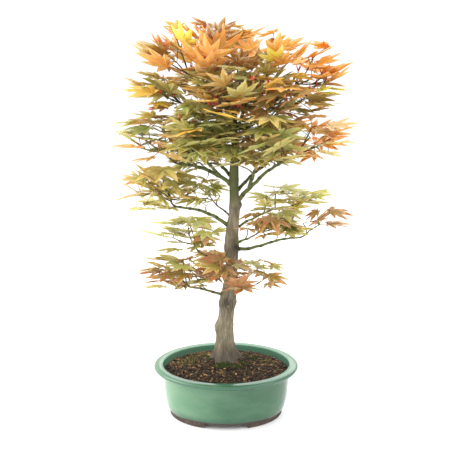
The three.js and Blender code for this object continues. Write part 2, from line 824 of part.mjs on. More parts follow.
// A three-sided section across a twig or stalk, its third corner over the line or under it.
function section(at, across, up, radius, peak) {
  const side = across.clone().multiplyScalar(radius * 0.87 * peak);
  const base = at.clone().addScaledVector(up, (-radius * peak) / 2);
  const over = at.clone().addScaledVector(up, radius * peak);
  return [base.clone().sub(side), base.clone().add(side), over];
}

// Adds points to a form and returns their numbers.
function addPoints(form, points) {
  form.points.push(...points);
  return points.map((_, i) => form.points.length - points.length + i);
}

// Side faces from one three-cornered ring to the next.
function bridge(form, from, to) {
  from.forEach((a, j) => {
    const b = (j + 1) % 3;
    form.faces.push(a, from[b], to[b], a, to[b], to[j]);
  });
}

// Adds a leaf that grows out of a three-cornered ring. Its blade is thickest at the heart and thins
// to the edge, and the heel opens into the stalk.
function addLeaf(form, ring, leaf) {
  const { frame, size, root } = leaf;
  const { half } = LEAF;
  const onRight = half.slice(1).reverse();
  const edge = (list, side) => list.map(([angle, reach]) => leafPoint(leaf, side * angle, reach));
  const leftSide = addPoints(form, edge(half, 1));
  const rightSide = addPoints(form, edge(onRight, -1));
  const stalk = addPoints(form, section(root, frame.across, frame.up, TWIG.stalk, 1));
  const [right, left, over] = stalk;
  const thick = (size * LEAF.thickness) / 2;
  const heart = [thick, -thick].map((lift) => leafPoint(leaf, 0, 0.14, lift));
  const [top, bottom] = addPoints(form, heart);
  const upperRim = [...leftSide, left, over, right, ...rightSide];
  const lowerRim = [...leftSide, left, right, ...rightSide];
  upperRim.forEach((a, i) => form.faces.push(top, a, upperRim[(i + 1) % upperRim.length]));
  lowerRim.forEach((a, i) => form.faces.push(bottom, lowerRim[(i + 1) % lowerRim.length], a));
  bridge(form, ring, stalk);
}

// A leaf alone with the outer part of its stalk, to try it against its neighbours.
function loneLeaf(leaf) {
  const form = { points: [], faces: [] };
  const from = leaf.tip.clone().lerp(leaf.root, 0.3);
  const ring = addPoints(form, section(from, leaf.frame.across, leaf.frame.up, TWIG.stalk, 1));
  form.faces.push(ring[0], ring[2], ring[1]);
  addLeaf(form, ring, leaf);
  return solidOf(geometryOf(form.points, form.faces));
}

// A twig with its leaves, as one closed form. The bud at its tip has eight sides: the twig ends on
// one of the four that face down, and a leaf grows from each of the four that face up.
function sprayGeometry(twig, leaves) {
  const form = { points: [], faces: [] };
  const [under, over, ...round] = addPoints(form, [
    twig.tip.clone().addScaledVector(UP, -TWIG.bud),
    twig.tip.clone().addScaledVector(UP, TWIG.bud),
    ...[-45, 45, 135, 225].map((turn) =>
      twig.tip.clone().addScaledVector(heading(twig.facing + turn, 0), TWIG.bud),
    ),
  ]);
  for (let k = 0; k < 4; k += 1) {
    const [right, left] = [round[k], round[(k + 1) % 4]];
    if (leaves[k]) addLeaf(form, [right, left, over], leaves[k]);
    else form.faces.push(right, left, over);
    if (k > 0) form.faces.push(left, right, under);
  }
  const curve = twigCurve(twig);
  const rings = [0, 0.5].map((t) => {
    const way = curve.getTangent(t);
    const across = UP.clone().cross(way).normalize();
    const up = way.clone().cross(across);
    return addPoints(form, section(curve.getPoint(t), across, up, TWIG.radius, -1));
  });
  form.faces.push(rings[0][0], rings[0][2], rings[0][1]);
  bridge(form, rings[0], rings[1]);
  bridge(form, rings[1], [round[0], round[1], under]);
  return geometryOf(form.points, form.faces);
}

function massSolid(mass, { radius, curve }, grown, clearTrunk) {
  const pieces = [solidOf(limb(curve, [radius, radius * 0.75], STEM.sides, 2))];
  const kept = [];
  for (const twig of grown.twigs) {
    // A leaf that still comes too near another is left off.
    const leaves = twig.leaves.map((leaf) => {
      const alone = loneLeaf(leaf);
      if (kept.some((other) => alone.minGap(other, SEAT_GAP) < SEAT_GAP)) return undefined;
      kept.push(alone);
      return leaf;
    });
    pieces.push(solidOf(sprayGeometry(twig, leaves)));
  }
  let solid = wasm.Manifold.union(pieces);
  if (mass.trunkAt) solid = solid.subtract(clearTrunk);
  return mainBody(solid.simplify(0.02));
}

// The whole plant

const plant = new THREE.Group();

function addMesh(name, solid, colour, roughness) {
  const material = new THREE.MeshStandardMaterial({ color: colour, roughness, metalness: 0 });
  const mesh = new THREE.Mesh(geometryFrom(solid), material);
  mesh.name = name;
  plant.add(mesh);
}

addMesh("pot", pot(), COLOURS.glaze, 0.25);
addMesh("soil", soil(), COLOURS.soil, 0.95);
addMesh("trunk", trunk(), COLOURS.bark, 0.9);

const grownTrunk = trunk(SEAT_GAP);
const curves = {};
const things = [];
for (let z = TRUNK[0].z; z < TRUNK[TRUNK.length - 1].z; z += TRUNK_STEP) {
  const top = Math.min(z + TRUNK_STEP, TRUNK[TRUNK.length - 1].z);
  things.push({ a: trunkAt(z).centre, b: trunkAt(top).centre, r: trunkAt(z).r, owner: "trunk" });
}

// Each bough is cut clear of the trunk and of every bough before it.
let taken = grownTrunk;
for (const bough of BOUGHS) {
  const curve = boughCurve(bough, curves);
  curves[bough.name] = curve;
  things.push(...stretches(curve, bough.r, BOUGH_STEPS, "bough"));
  const solid = mainBody(solidOf(limb(curve, bough.r, BOUGH_SIDES, BOUGH_STEPS)).subtract(taken));
  addMesh("bough_" + bough.name, solid, COLOURS.boughs, 0.8);
  taken = taken.add(solidOf(limb(curve, bough.r, BOUGH_SIDES, BOUGH_STEPS, SEAT_GAP)));
}

const spaces = MASSES.map(spaceOf);
const stems = MASSES.map((mass, i) => stemOf(mass, spaces[i], curves));
MASSES.forEach((mass, i) => {
  const { curve, radius } = stems[i];
  things.push(...stretches(curve, [radius, radius], 3, mass.name));
});
MASSES.forEach((mass, i) => {
  const grown = growMass(mass, i, spaces, stems[i], things);
  const colour = mass.z > 430 ? COLOURS.top : mass.z > 280 ? COLOURS.middle : COLOURS.low;
  addMesh("leaves_" + mass.name, massSolid(mass, stems[i], grown, grownTrunk), colour, 0.6);
});

// The origin is at the middle of the whole plant's footprint box.
const box = new THREE.Box3().setFromObject(plant);
const middle = box.getCenter(vec(0, 0, 0));
plant.position.set(-middle.x, -middle.y, -box.min.z);

export default plant;
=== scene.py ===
import functools
import math

import bpy
import numpy as np
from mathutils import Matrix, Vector, noise


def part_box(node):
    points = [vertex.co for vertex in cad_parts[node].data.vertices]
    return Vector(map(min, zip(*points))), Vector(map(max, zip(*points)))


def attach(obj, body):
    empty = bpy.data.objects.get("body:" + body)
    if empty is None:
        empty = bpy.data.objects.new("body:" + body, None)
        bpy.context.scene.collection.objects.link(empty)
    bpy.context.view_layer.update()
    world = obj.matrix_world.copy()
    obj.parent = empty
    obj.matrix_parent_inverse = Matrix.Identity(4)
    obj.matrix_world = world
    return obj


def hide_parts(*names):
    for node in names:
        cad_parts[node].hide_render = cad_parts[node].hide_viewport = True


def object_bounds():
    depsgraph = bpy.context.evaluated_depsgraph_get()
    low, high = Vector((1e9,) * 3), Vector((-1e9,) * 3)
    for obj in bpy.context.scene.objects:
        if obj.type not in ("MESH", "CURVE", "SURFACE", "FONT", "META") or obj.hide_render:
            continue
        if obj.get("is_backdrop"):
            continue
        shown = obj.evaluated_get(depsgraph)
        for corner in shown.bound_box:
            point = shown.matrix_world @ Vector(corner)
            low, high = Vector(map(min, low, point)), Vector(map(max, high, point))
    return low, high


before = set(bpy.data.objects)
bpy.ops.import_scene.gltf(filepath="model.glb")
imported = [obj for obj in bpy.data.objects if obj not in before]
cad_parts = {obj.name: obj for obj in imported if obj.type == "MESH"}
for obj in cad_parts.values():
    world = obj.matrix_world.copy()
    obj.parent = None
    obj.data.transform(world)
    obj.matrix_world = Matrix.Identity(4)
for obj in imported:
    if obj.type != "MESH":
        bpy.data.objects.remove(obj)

# A Japanese maple trained as a bonsai, in autumn leaf, in an oval jade-glazed pot. The plant's
# sizes are millimetres and its places are from the middle of the pot's underside. placed() turns
# them into metres in the frame that the solids share.
cad_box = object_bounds()
pot_low, pot_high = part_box("pot")
POT_MIDDLE = np.array([(pot_low.x + pot_high.x) / 2, (pot_low.y + pot_high.y) / 2, 0.0])


def placed(points):
    return np.asarray(points, float) / 1000 + POT_MIDDLE


# Camera and room. The camera looks a little down from table height across the room, with a long
# lens. The floor is one wide pale disc in an even white world light, under wide soft lamps.
CAMERA_AT = (0, -1050, 500)
CAMERA_DOWN = 11.93  # degrees
CAMERA_LENS = 60.69  # on a sensor 36 mm wide
camera = bpy.data.objects.new("camera", bpy.data.cameras.new("camera"))
bpy.context.scene.collection.objects.link(camera)
camera.location = placed(CAMERA_AT)
camera.rotation_euler = (math.radians(90 - CAMERA_DOWN), 0, 0)
camera.data.sensor_width = 36
camera.data.lens = CAMERA_LENS
camera.data.clip_start = 0.05
camera.data.clip_end = 20
bpy.context.scene.camera = camera
bpy.context.scene.view_settings.view_transform = "Standard"

bpy.ops.object.select_all(action="DESELECT")
bpy.ops.mesh.primitive_circle_add(vertices=64, radius=6, fill_type="NGON", location=(0, 0, -0.0004))
floor = bpy.context.object
floor.name = "floor"
paper = bpy.data.materials.new("white_paper")
paper.use_nodes = True
paper.node_tree.nodes["Principled BSDF"].inputs["Base Color"].default_value = (0.99, 0.99, 0.99, 1)
paper.node_tree.nodes["Principled BSDF"].inputs["Roughness"].default_value = 0.9
floor.data.materials.append(paper)
floor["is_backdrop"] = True

room = bpy.data.worlds.new("pale_room")
room.use_nodes = True
room.node_tree.nodes["Background"].inputs["Color"].default_value = (1, 1, 1, 1)
room.node_tree.nodes["Background"].inputs["Strength"].default_value = 1.2
bpy.context.scene.world = room

LAMPS_AIM = (0, 0, 250)
LAMPS = [  # where each stands, its width in metres, its power in watts
    ("window", (-1400, -230, 850), 1.9, 32),
    ("fill", (900, -500, 1250), 1.2, 8),
    ("behind", (250, 900, 1000), 1.2, 8),
]
for lamp_name, lamp_at, lamp_width, lamp_power in LAMPS:
    lamp = bpy.data.objects.new(lamp_name, bpy.data.lights.new(lamp_name, "AREA"))
    bpy.context.scene.collection.objects.link(lamp)
    lamp.data.size = lamp_width
    lamp.data.energy = lamp_power
    lamp.location = placed(lamp_at)
    towards = Vector(placed(LAMPS_AIM)) - lamp.location
    lamp.rotation_euler = towards.to_track_quat("-Z", "Y").to_euler()


# Pot. An oval stoneware bowl with a rolled rim, thrown, pressed oval and dipped in a jade glaze that
# stops short of its foot. The foot is a ring cut into two C-shaped feet, of bare dark clay.
POT_SIDES = 96
SHALLOWER = 18  # every ring is this much shorter from middle to edge across than along
UNDERSIDE = (60, 5)
POT_RINGS = [  # half length, height: up the outside, over the rim and down the inside
    (76, 5), (79.6, 5), (82.2, 5.7), (84, 7.6), (84.8, 9), (85.8, 11.1), (87, 14.7), (88.2, 19.4),
    (89.4, 25.7), (90.4, 33), (91.4, 43.5), (91.9, 53.9), (92, 60.2), (92.3, 63.6), (93.6, 65.4),
    (96.4, 66.2), (100.4, 66.7), (103.4, 67.9), (105, 70), (104.9, 72.1), (103.5, 73.4),
    (101.6, 74.1), (97.4, 74.3), (93.8, 74.2), (92.3, 73.4), (91.7, 71), (91.4, 67.2), (90.7, 63.2),
    (89, 56), (87.5, 46.6), (86, 35.1), (83.5, 25), (79, 19), (72, 15.9), (60, 15.7),
]
FOOT = {  # half lengths, how high and how much wider it is at its top, its gap's half width and slant
    "outer": 82.3, "wider": 1, "inner": 65, "top": 7.2, "gap": 31, "slant": 2.2,
}
FOOT_BEVEL = 0.8
DRAIN = {"radius": 7, "out": 42, "height": 10, "drill": 40}
GLAZE = {
    # mint is the paler glaze of the clouds, also laid on the lamp's side as painted light; jade is the
    # deeper glaze
    "jade": (0.03, 0.107, 0.05),
    "mint": (0.132, 0.268, 0.155),
    "rim": (0.1, 0.228, 0.128),
    "lip": (0.03, 0.104, 0.062),
    # The inside's two glaze colours, here and below, are lighter than the outside's: painted light that
    # makes up for the shade inside the pot.
    "pooled": (0.14, 0.3, 0.2),
    "deep": (0.1, 0.235, 0.155),
    # foot: the darker glaze low on the wall, partly glaze pooled thick, partly painted shade
    "foot": (0.03, 0.095, 0.055),
    "rust": (0.34, 0.13, 0.05),
    "clay": (0.052, 0.037, 0.028),
}
# Painted light: the glaze is mixed towards its paler colour at the left, the window lamp's side, and
# towards its deeper colour at the right.
GLAZE_PAINTED_LIGHT_ALONG = (-98, 30)  # along the pot, where it is palest and where it is deepest
# The glaze darkens towards the foot: partly glaze pooled thick there, partly painted shade on the lower
# wall as it turns under.
GLAZE_EDGE = {  # heights over which it darkens and ends, how far it wanders, how much it rises in front
    "dark": (18.6, 7.6), "ends": (7.8, 7), "wander": 2, "rise": 4, "front": (-28, -60),
}
# The lip's darker colour, on the underside and outer face of the rolled rim, is partly glaze pooled there
# and partly painted shade under the roll. The flat top takes the lip's colour at the front and the paler
# rim colour behind.
RIM_GLAZE = {  # heights between which the lip and the flat top have theirs, and where the top is paler
    "under": (64.7, 67.7), "over": (73.7, 71.2), "top": (73.2, 74.1), "paler": (-75, -15),
}
INSIDE = {"above": 15.8, "half": 94}  # faces here that look inwards are the inside of the pot
CLAY = {"dark": (0.042, 0.029, 0.022), "grog": (0.105, 0.075, 0.058)}


def new_object(kind_of_start, name, **start):
    """A primitive as the start of a piece, with nothing else selected."""
    bpy.ops.object.select_all(action="DESELECT")
    getattr(bpy.ops.mesh, f"primitive_{kind_of_start}_add")(**start)
    bpy.context.object.name = name
    return bpy.context.object


def oval_rings(rings, start):
    """In edit mode, with one oval end selected: draws it out through more ovals."""
    half, height = start
    for next_half, next_height in rings:
        rise = (next_height - height) / 1000
        bpy.ops.mesh.extrude_region_move(TRANSFORM_OT_translate={"value": (0, 0, rise)})
        bpy.ops.transform.resize(
            value=(next_half / half, (next_half - SHALLOWER) / (half - SHALLOWER), 1),
            center_override=placed((0, 0, next_height)),
        )
        half, height = next_half, next_height


def oval_start(name, start, sides, fill):
    """An oval outline, in edit mode with all of it selected."""
    half, height = start
    made = new_object(
        "circle", name, vertices=sides, radius=1, fill_type=fill, location=placed((0, 0, height))
    )
    bpy.ops.object.mode_set(mode="EDIT")
    bpy.ops.mesh.select_all(action="SELECT")
    bpy.ops.transform.resize(
        value=(half / 1000, (half - SHALLOWER) / 1000, 1), center_override=placed((0, 0, height))
    )
    return made


def finish_shape(made, smooth_under=40):
    """Leaves edit mode with the normals outwards and the place in the mesh."""
    bpy.ops.object.mode_set(mode="OBJECT")
    bpy.ops.object.select_all(action="DESELECT")
    made.select_set(True)
    bpy.context.view_layer.objects.active = made
    bpy.ops.object.transform_apply(location=True, rotation=True, scale=True)
    bpy.ops.object.mode_set(mode="EDIT")
    bpy.ops.mesh.select_all(action="SELECT")
    bpy.ops.mesh.remove_doubles(threshold=1e-6)
    bpy.ops.mesh.normals_make_consistent(inside=False)
    bpy.ops.object.mode_set(mode="OBJECT")
    bpy.ops.object.shade_smooth_by_angle(angle=math.radians(smooth_under))


def apply_modifier(made, kind, **values):
    bpy.context.view_layer.objects.active = made
    modifier = made.modifiers.new(kind.lower(), kind)
    for key, value in values.items():
        setattr(modifier, key, value)
    bpy.ops.object.modifier_apply(modifier=modifier.name)


pot = oval_start("pot_glazed", UNDERSIDE, POT_SIDES, "NGON")
oval_rings(POT_RINGS, UNDERSIDE)
finish_shape(pot)
for side in (-1, 1):
    drill = new_object(
        "cylinder", "drill", vertices=32, radius=DRAIN["radius"] / 1000, depth=DRAIN["drill"] / 1000,
        location=placed((side * DRAIN["out"], 0, DRAIN["height"])),
    )
    apply_modifier(pot, "BOOLEAN", object=drill, operation="DIFFERENCE", solver="EXACT")
    bpy.data.objects.remove(drill)
finish_shape(pot)

feet = oval_start("pot_feet", (FOOT["outer"], 0), POT_SIDES, "NOTHING")
oval_rings(
    [(FOOT["inner"], 0), (FOOT["inner"], FOOT["top"]), (FOOT["outer"] + FOOT["wider"], FOOT["top"])],
    (FOOT["outer"], 0),
)
bpy.ops.mesh.select_all(action="SELECT")
bpy.ops.mesh.region_to_loop()
bpy.ops.mesh.bridge_edge_loops()
bpy.ops.object.mode_set(mode="OBJECT")
right_feet = feet.copy()
right_feet.data = feet.data.copy()
bpy.context.scene.collection.objects.link(right_feet)
for foot_half, side in ((feet, -1), (right_feet, 1)):
    bpy.ops.object.select_all(action="DESELECT")
    foot_half.select_set(True)
    bpy.context.view_layer.objects.active = foot_half
    bpy.ops.object.mode_set(mode="EDIT")
    bpy.ops.mesh.select_all(action="SELECT")
    bpy.ops.mesh.bisect(
        plane_co=placed((side * FOOT["gap"], 0, 0)),
        plane_no=(side, 0, FOOT["slant"] / FOOT["top"]),
        use_fill=True,
        clear_inner=True,
        clear_outer=False,
    )
    finish_shape(foot_half)
bpy.ops.object.select_all(action="DESELECT")
right_feet.select_set(True)
feet.select_set(True)
bpy.context.view_layer.objects.active = feet
bpy.ops.object.join()
apply_modifier(feet, "BEVEL", width=FOOT_BEVEL / 1000, segments=2, limit_method="ANGLE")


def nodes_of(name):
    """A new material's nodes and links, and its surface."""
    material = bpy.data.materials.new(name)
    material.use_nodes = True
    tree = material.node_tree
    return material, tree, tree.nodes["Principled BSDF"]


def node(tree, kind, **values):
    made = tree.nodes.new("ShaderNode" + kind)
    for key, value in values.items():
        if hasattr(made, key):
            setattr(made, key, value)
        else:
            made.inputs[key.replace("_", " ")].default_value = value
    return made


def mix_colours(tree, share, first, second):
    """A blend of two colours, each a value or a socket, by a share that is a value or a socket."""
    made = tree.nodes.new("ShaderNodeMix")
    made.data_type = "RGBA"
    for socket, value in ((made.inputs[0], share), (made.inputs[6], first), (made.inputs[7], second)):
        if isinstance(value, bpy.types.NodeSocket):
            tree.links.new(value, socket)
        else:
            socket.default_value = (*value, 1) if isinstance(value, tuple) else value
    return made.outputs[2]


def pattern(tree, kind, scale, stretch=(1, 1, 1), **values):
    """A noise or cell pattern on the object's own coordinates."""
    where = tree.nodes.new("ShaderNodeTexCoord")
    mapping = tree.nodes.new("ShaderNodeMapping")
    mapping.inputs["Scale"].default_value = stretch
    made = node(tree, kind, Scale=scale, **values)
    tree.links.new(where.outputs["Object"], mapping.inputs["Vector"])
    tree.links.new(mapping.outputs["Vector"], made.inputs["Vector"])
    return made


def ramp(tree, socket, low, high, first=0.0, last=1.0):
    """Turns what comes in from low to high into a share from first to last."""
    made = tree.nodes.new("ShaderNodeMapRange")
    made.interpolation_type = "SMOOTHSTEP"
    made.inputs["From Min"].default_value = low
    made.inputs["From Max"].default_value = high
    made.inputs["To Min"].default_value = first
    made.inputs["To Max"].default_value = last
    tree.links.new(socket, made.inputs["Value"])
    return made.outputs["Result"]


def level_of(tree, axis):
    where = tree.nodes.new("ShaderNodeTexCoord")
    split = tree.nodes.new("ShaderNodeSeparateXYZ")
    tree.links.new(where.outputs["Object"], split.inputs[0])
    return split.outputs[axis]


def band(tree, axis, low, high, *shares):
    """A share that changes between two places on an axis, in millimetres as the plant's sizes are."""
    middle = POT_MIDDLE["XYZ".index(axis)]
    return ramp(tree, level_of(tree, axis), middle + low / 1000, middle + high / 1000, *shares)


def product(tree, first, second):
    made = node(tree, "Math", operation="MULTIPLY")
    tree.links.new(first, made.inputs[0])
    tree.links.new(second, made.inputs[1])
    return made.outputs[0]


def added(tree, first, factor, second, held=False):
    """The first socket times a factor, plus the second, and held between 0 and 1 where asked."""
    made = node(tree, "Math", operation="MULTIPLY_ADD")
    tree.links.new(first, made.inputs[0])
    made.inputs[1].default_value = factor
    tree.links.new(second, made.inputs[2])
    made.use_clamp = held
    return made.outputs[0]


def raise_by(tree, surface, socket, strength, distance):
    bump = node(tree, "Bump", Strength=strength, Distance=distance)
    tree.links.new(socket, bump.inputs["Height"])
    tree.links.new(bump.outputs["Normal"], surface.inputs["Normal"])


def glaze_material(name, pale, full, lip_share):
    """Glaze in clouds of two colours, paler towards one end as painted light, another on the lip that is
    partly painted shade, rust specks, a darkening low on the wall that is partly painted shade, and a bare
    edge at the foot.
    """
    material, tree, surface = nodes_of(name)
    clouds = pattern(tree, "TexNoise", 16, (1, 1, 2.2), Detail=4.0, Roughness=0.6)
    cloudy = ramp(tree, clouds.outputs[0], 0.35, 0.7, -0.08, 0.2)
    # Painted light: paler towards the lamp's side of the pot, plus clouds.
    share = added(tree, cloudy, 1.0, band(tree, "X", *GLAZE_PAINTED_LIGHT_ALONG, 1.0, 0.0), held=True)
    colour = mix_colours(tree, share, GLAZE[full], GLAZE[pale])
    # The lip: partly pooled glaze, partly painted shade under the rolled rim.
    under_top = band(tree, "Z", *RIM_GLAZE["over"], 0.0, lip_share)
    on_lip = product(tree, under_top, band(tree, "Z", *RIM_GLAZE["under"]))
    colour = mix_colours(tree, on_lip, colour, GLAZE["lip"])
    flat_top = mix_colours(tree, band(tree, "Y", *RIM_GLAZE["paler"]), GLAZE["lip"], GLAZE["rim"])
    colour = mix_colours(tree, band(tree, "Z", *RIM_GLAZE["top"], 0.0, 0.85), colour, flat_top)
    specks = ramp(tree, pattern(tree, "TexVoronoi", 95).outputs["Distance"], 0.16, 0.08)
    patches = ramp(tree, pattern(tree, "TexNoise", 30, Detail=1.0).outputs[0], 0.6, 0.66)
    colour = mix_colours(tree, product(tree, specks, patches), colour, GLAZE["rust"])
    in_front = band(tree, "Y", *GLAZE_EDGE["front"])
    height = added(tree, in_front, -GLAZE_EDGE["rise"] / 1000, level_of(tree, "Z"))
    wander = pattern(tree, "TexNoise", 60, Detail=2.0)
    height = added(tree, wander.outputs[0], GLAZE_EDGE["wander"] / 1000, height)
    # Painted shade, with glaze pooled thick: darker towards the foot.
    dark = ramp(tree, height, *(level / 1000 for level in GLAZE_EDGE["dark"]), 0.0, 0.6)
    colour = mix_colours(tree, dark, colour, GLAZE["foot"])
    bare = ramp(tree, height, *(level / 1000 for level in GLAZE_EDGE["ends"]))
    colour = mix_colours(tree, bare, colour, GLAZE["clay"])
    tree.links.new(colour, surface.inputs["Base Color"])
    tree.links.new(ramp(tree, bare, 0, 1, 0.16, 0.75), surface.inputs["Roughness"])
    surface.inputs["Coat Weight"].default_value = 0.25
    surface.inputs["Specular IOR Level"].default_value = 0.42
    surface.inputs["Coat Roughness"].default_value = 0.08
    ripple = pattern(tree, "TexNoise", 45, (1, 1, 1.6), Detail=3.0)
    raise_by(tree, surface, ripple.outputs[0], 0.25, 0.0012)
    return material


pot.data.materials.clear()
pot.data.materials.append(glaze_material("jade_glaze", "mint", "jade", 0.85))
# The inside glaze is a lighter copy of the outer one: painted light against the shade inside the pot.
pot.data.materials.append(glaze_material("jade_glaze_inside", "pooled", "deep", 0.2))
for polygon in pot.data.polygons:
    x, y, z = (np.array(polygon.center) - POT_MIDDLE) * 1000
    inwards = polygon.normal.x * x + polygon.normal.y * y < 0
    within = math.hypot(x / INSIDE["half"], y / (INSIDE["half"] - SHALLOWER)) < 1
    polygon.material_index = int(inwards and within and z > INSIDE["above"])

clay, tree, surface = nodes_of("bare_clay")
grog = pattern(tree, "TexNoise", 260, Detail=5.0)
grog_colour = mix_colours(tree, ramp(tree, grog.outputs[0], 0.35, 0.7), CLAY["dark"], CLAY["grog"])
tree.links.new(grog_colour, surface.inputs["Base Color"])
surface.inputs["Roughness"].default_value = 0.85
raise_by(tree, surface, grog.outputs[0], 0.5, 0.0006)
feet.data.materials.clear()
feet.data.materials.append(clay)
for piece in (pot, feet):
    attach(piece, "root")
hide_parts("pot")


# Soil. Dark, moist and crumbly, it is pressed in round the roots, fills the pot to just under the
# rim and is heaped against the trunk.
SOIL_SIDES = 224
SOIL_BOTTOM = (58, 17)
SOIL_WALL = [(79, 21), (86, 36), (88.6, 55), (89.6, 61.6), (89.9, 64.4)]
SOIL_EDGE = {"half": 89.9, "height": 64.8}
SOIL_TOP = {"rings": 74, "middle": 2.5, "domed": 4.7, "raised": 1.6}  # the middle is the last ring's
MOUND = {"x": 1, "y": 14, "height": 7.5, "half": 34}
SOIL_CRUMBS = {"coarse": (7, 1.1), "grains": (2.2, 0.9), "fine": (1.6, 0.7)}  # how wide, how high
EARTH = {"wet": (0.005, 0.004, 0.0025), "dry": (0.036, 0.025, 0.014), "grit": (0.11, 0.072, 0.043)}
soil = oval_start("soil_heaped", SOIL_BOTTOM, SOIL_SIDES, "NGON")
across = SOIL_EDGE["half"] - SHALLOWER - SOIL_TOP["middle"]
inward = [
    (SOIL_EDGE["half"] - across * ring / SOIL_TOP["rings"], SOIL_EDGE["height"])
    for ring in range(1, SOIL_TOP["rings"] + 1)
]
oval_rings(SOIL_WALL + inward, SOIL_BOTTOM)
finish_shape(soil, 60)


def off_middle(x, y):
    """How far out a place on the soil is, where 1 is the soil's edge."""
    return math.hypot(x / SOIL_EDGE["half"], y / (SOIL_EDGE["half"] - SHALLOWER))


def soil_height(x, y):
    """The soil's level at a place, without its crumbs."""
    out = off_middle(x, y)
    away = math.hypot(x - MOUND["x"], y - MOUND["y"])
    level = SOIL_EDGE["height"] + SOIL_TOP["domed"] * max(0.0, 1 - out**3)
    heaped = MOUND["height"] * math.exp(-((away / MOUND["half"]) ** 4)) + SOIL_TOP["raised"]
    return level + heaped * max(0.0, 1 - out**6)


def crumbs(x, y):
    """How far the soil's crumbs stand above or below its level."""
    (lump, lump_high), (grain, grain_high), (crumb, crumb_high) = SOIL_CRUMBS.values()
    coarse = noise.noise(Vector((x / lump, y / lump, 1.7)))
    grains = noise.cell(Vector((x / grain + coarse, y / grain, 4.1)))
    fine = noise.noise(Vector((x / crumb, y / crumb, 9.3)))
    return lump_high * coarse + grain_high * grains + crumb_high * fine


spots = np.empty(len(soil.data.vertices) * 3)
soil.data.vertices.foreach_get("co", spots)
spots = spots.reshape(-1, 3)
for spot in spots:
    x, y, z = (spot - POT_MIDDLE) * 1000
    if z > SOIL_EDGE["height"] - 0.1:  # a place on the top, whose crumbs are cut off at its edge
        spot[2] = (soil_height(x, y) + crumbs(x, y) * min(1.0, (1.02 - off_middle(x, y)) * 14)) / 1000
soil.data.vertices.foreach_set("co", spots.ravel())

earth, tree, surface = nodes_of("moist_soil")
lumps = pattern(tree, "TexNoise", 140, Detail=6.0, Roughness=0.7)
grit = pattern(tree, "TexVoronoi", 420)
gritty = ramp(tree, grit.outputs["Distance"], 0.32, 0.12, 0.0, 0.35)
earth_colour = mix_colours(tree, ramp(tree, lumps.outputs[0], 0.35, 0.68), EARTH["wet"], EARTH["dry"])
earth_colour = mix_colours(tree, gritty, earth_colour, EARTH["grit"])
tree.links.new(earth_colour, surface.inputs["Base Color"])
surface.inputs["Roughness"].default_value = 0.9
surface.inputs["Specular IOR Level"].default_value = 0.2
raise_by(tree, surface, lumps.outputs[0], 0.9, 0.0015)
soil.data.materials.clear()
soil.data.materials.append(earth)
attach(soil, "root")
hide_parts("soil")


# Chips on the soil. Bits of bark, grit and baked clay with broken corners, strewn over the soil by
# hand and bedded in its crumbs. They are every brown from nearly black to straw.
class Draws:
    """A stream of even draws between two limits, the same every time for one seed."""

    PRIME = 2147483647  # the stream comes round again after one draw less than this

    def __init__(self, seed):
        self.state = (seed * 48271 + 11) % self.PRIME

    def __call__(self, low, high):
        self.state = self.state * 16807 % self.PRIME
        return low + (high - low) * self.state / self.PRIME


def plain(name, colour, roughness=0.6, thin=0.0):
    """A material of one plain colour, given as screen values from 0 to 255."""
    material, _, surface = nodes_of(name)
    linear = [((c / 255 + 0.055) / 1.055) ** 2.4 if c > 10 else c / 255 / 12.92 for c in colour]
    surface.inputs["Base Color"].default_value = (*linear, 1)
    surface.inputs["Roughness"].default_value = roughness
    if thin:
        surface.inputs["Subsurface Weight"].default_value = thin
        surface.inputs["Subsurface Radius"].default_value = (1.0, 0.75, 0.35)
        surface.inputs["Subsurface Scale"].default_value = 0.002
    return material


def plains(name, tones, roughness):
    return [plain(f"{name}_{i}", tone, roughness) for i, tone in enumerate(tones)]


def mesh_piece(name, points, faces, materials, picks=None):
    """A new piece from its points in millimetres, its faces and the material of each."""
    data = bpy.data.meshes.new(name)
    data.from_pydata(placed(points).tolist(), [], faces)
    for material in materials:
        data.materials.append(material)
    if picks is not None:
        data.polygons.foreach_set("material_index", np.asarray(picks, np.int32))
    data.update()
    made = bpy.data.objects.new(name, data)
    bpy.context.scene.collection.objects.link(made)
    return made


GOLDEN = (1 + math.sqrt(5)) / 2
CHIP_POINTS = np.array([
    (-1, GOLDEN, 0), (1, GOLDEN, 0), (-1, -GOLDEN, 0), (1, -GOLDEN, 0),
    (0, -1, GOLDEN), (0, 1, GOLDEN), (0, -1, -GOLDEN), (0, 1, -GOLDEN),
    (GOLDEN, 0, -1), (GOLDEN, 0, 1), (-GOLDEN, 0, -1), (-GOLDEN, 0, 1),
]) / math.hypot(1, GOLDEN)
CHIP_FACES = [
    (0, 11, 5), (0, 5, 1), (0, 1, 7), (0, 7, 10), (0, 10, 11), (1, 5, 9), (5, 11, 4), (11, 10, 2),
    (10, 7, 6), (7, 1, 8), (3, 9, 4), (3, 4, 2), (3, 2, 6), (3, 6, 8), (3, 8, 9), (4, 9, 5),
    (2, 4, 11), (6, 2, 10), (8, 6, 7), (9, 8, 1),
]
CHIP_TONES = [
    (44, 30, 22), (66, 46, 32), (88, 62, 42), (116, 86, 54), (152, 118, 72), (190, 162, 112),
    (104, 60, 42), (84, 78, 50),
]
CHIP_SHARES = [6, 6, 4, 2.5, 1.4, 0.4, 0.8, 2.6]
CHIPS = {  # how many, and for each its least size, what may be added, shape, corners, lean and seat
    "count": 2600, "least": 0.45, "more": 1.7, "seldom": 2.6,
    "shape": ((0.8, 1.9), (0.6, 1.1), (0.4, 0.9)), "corners": (0.75, 1.2), "lean": 25, "seat": 0.25,
}
STREWN = {"along": 88, "across": 71, "off_trunk": 17}  # where chips and fibres lie


def pick(draw, shares):
    """One number from 0, each as likely as its share."""
    left = draw(0, sum(shares))
    for number, share in enumerate(shares):
        left -= share
        if left <= 0:
            return number
    return len(shares) - 1


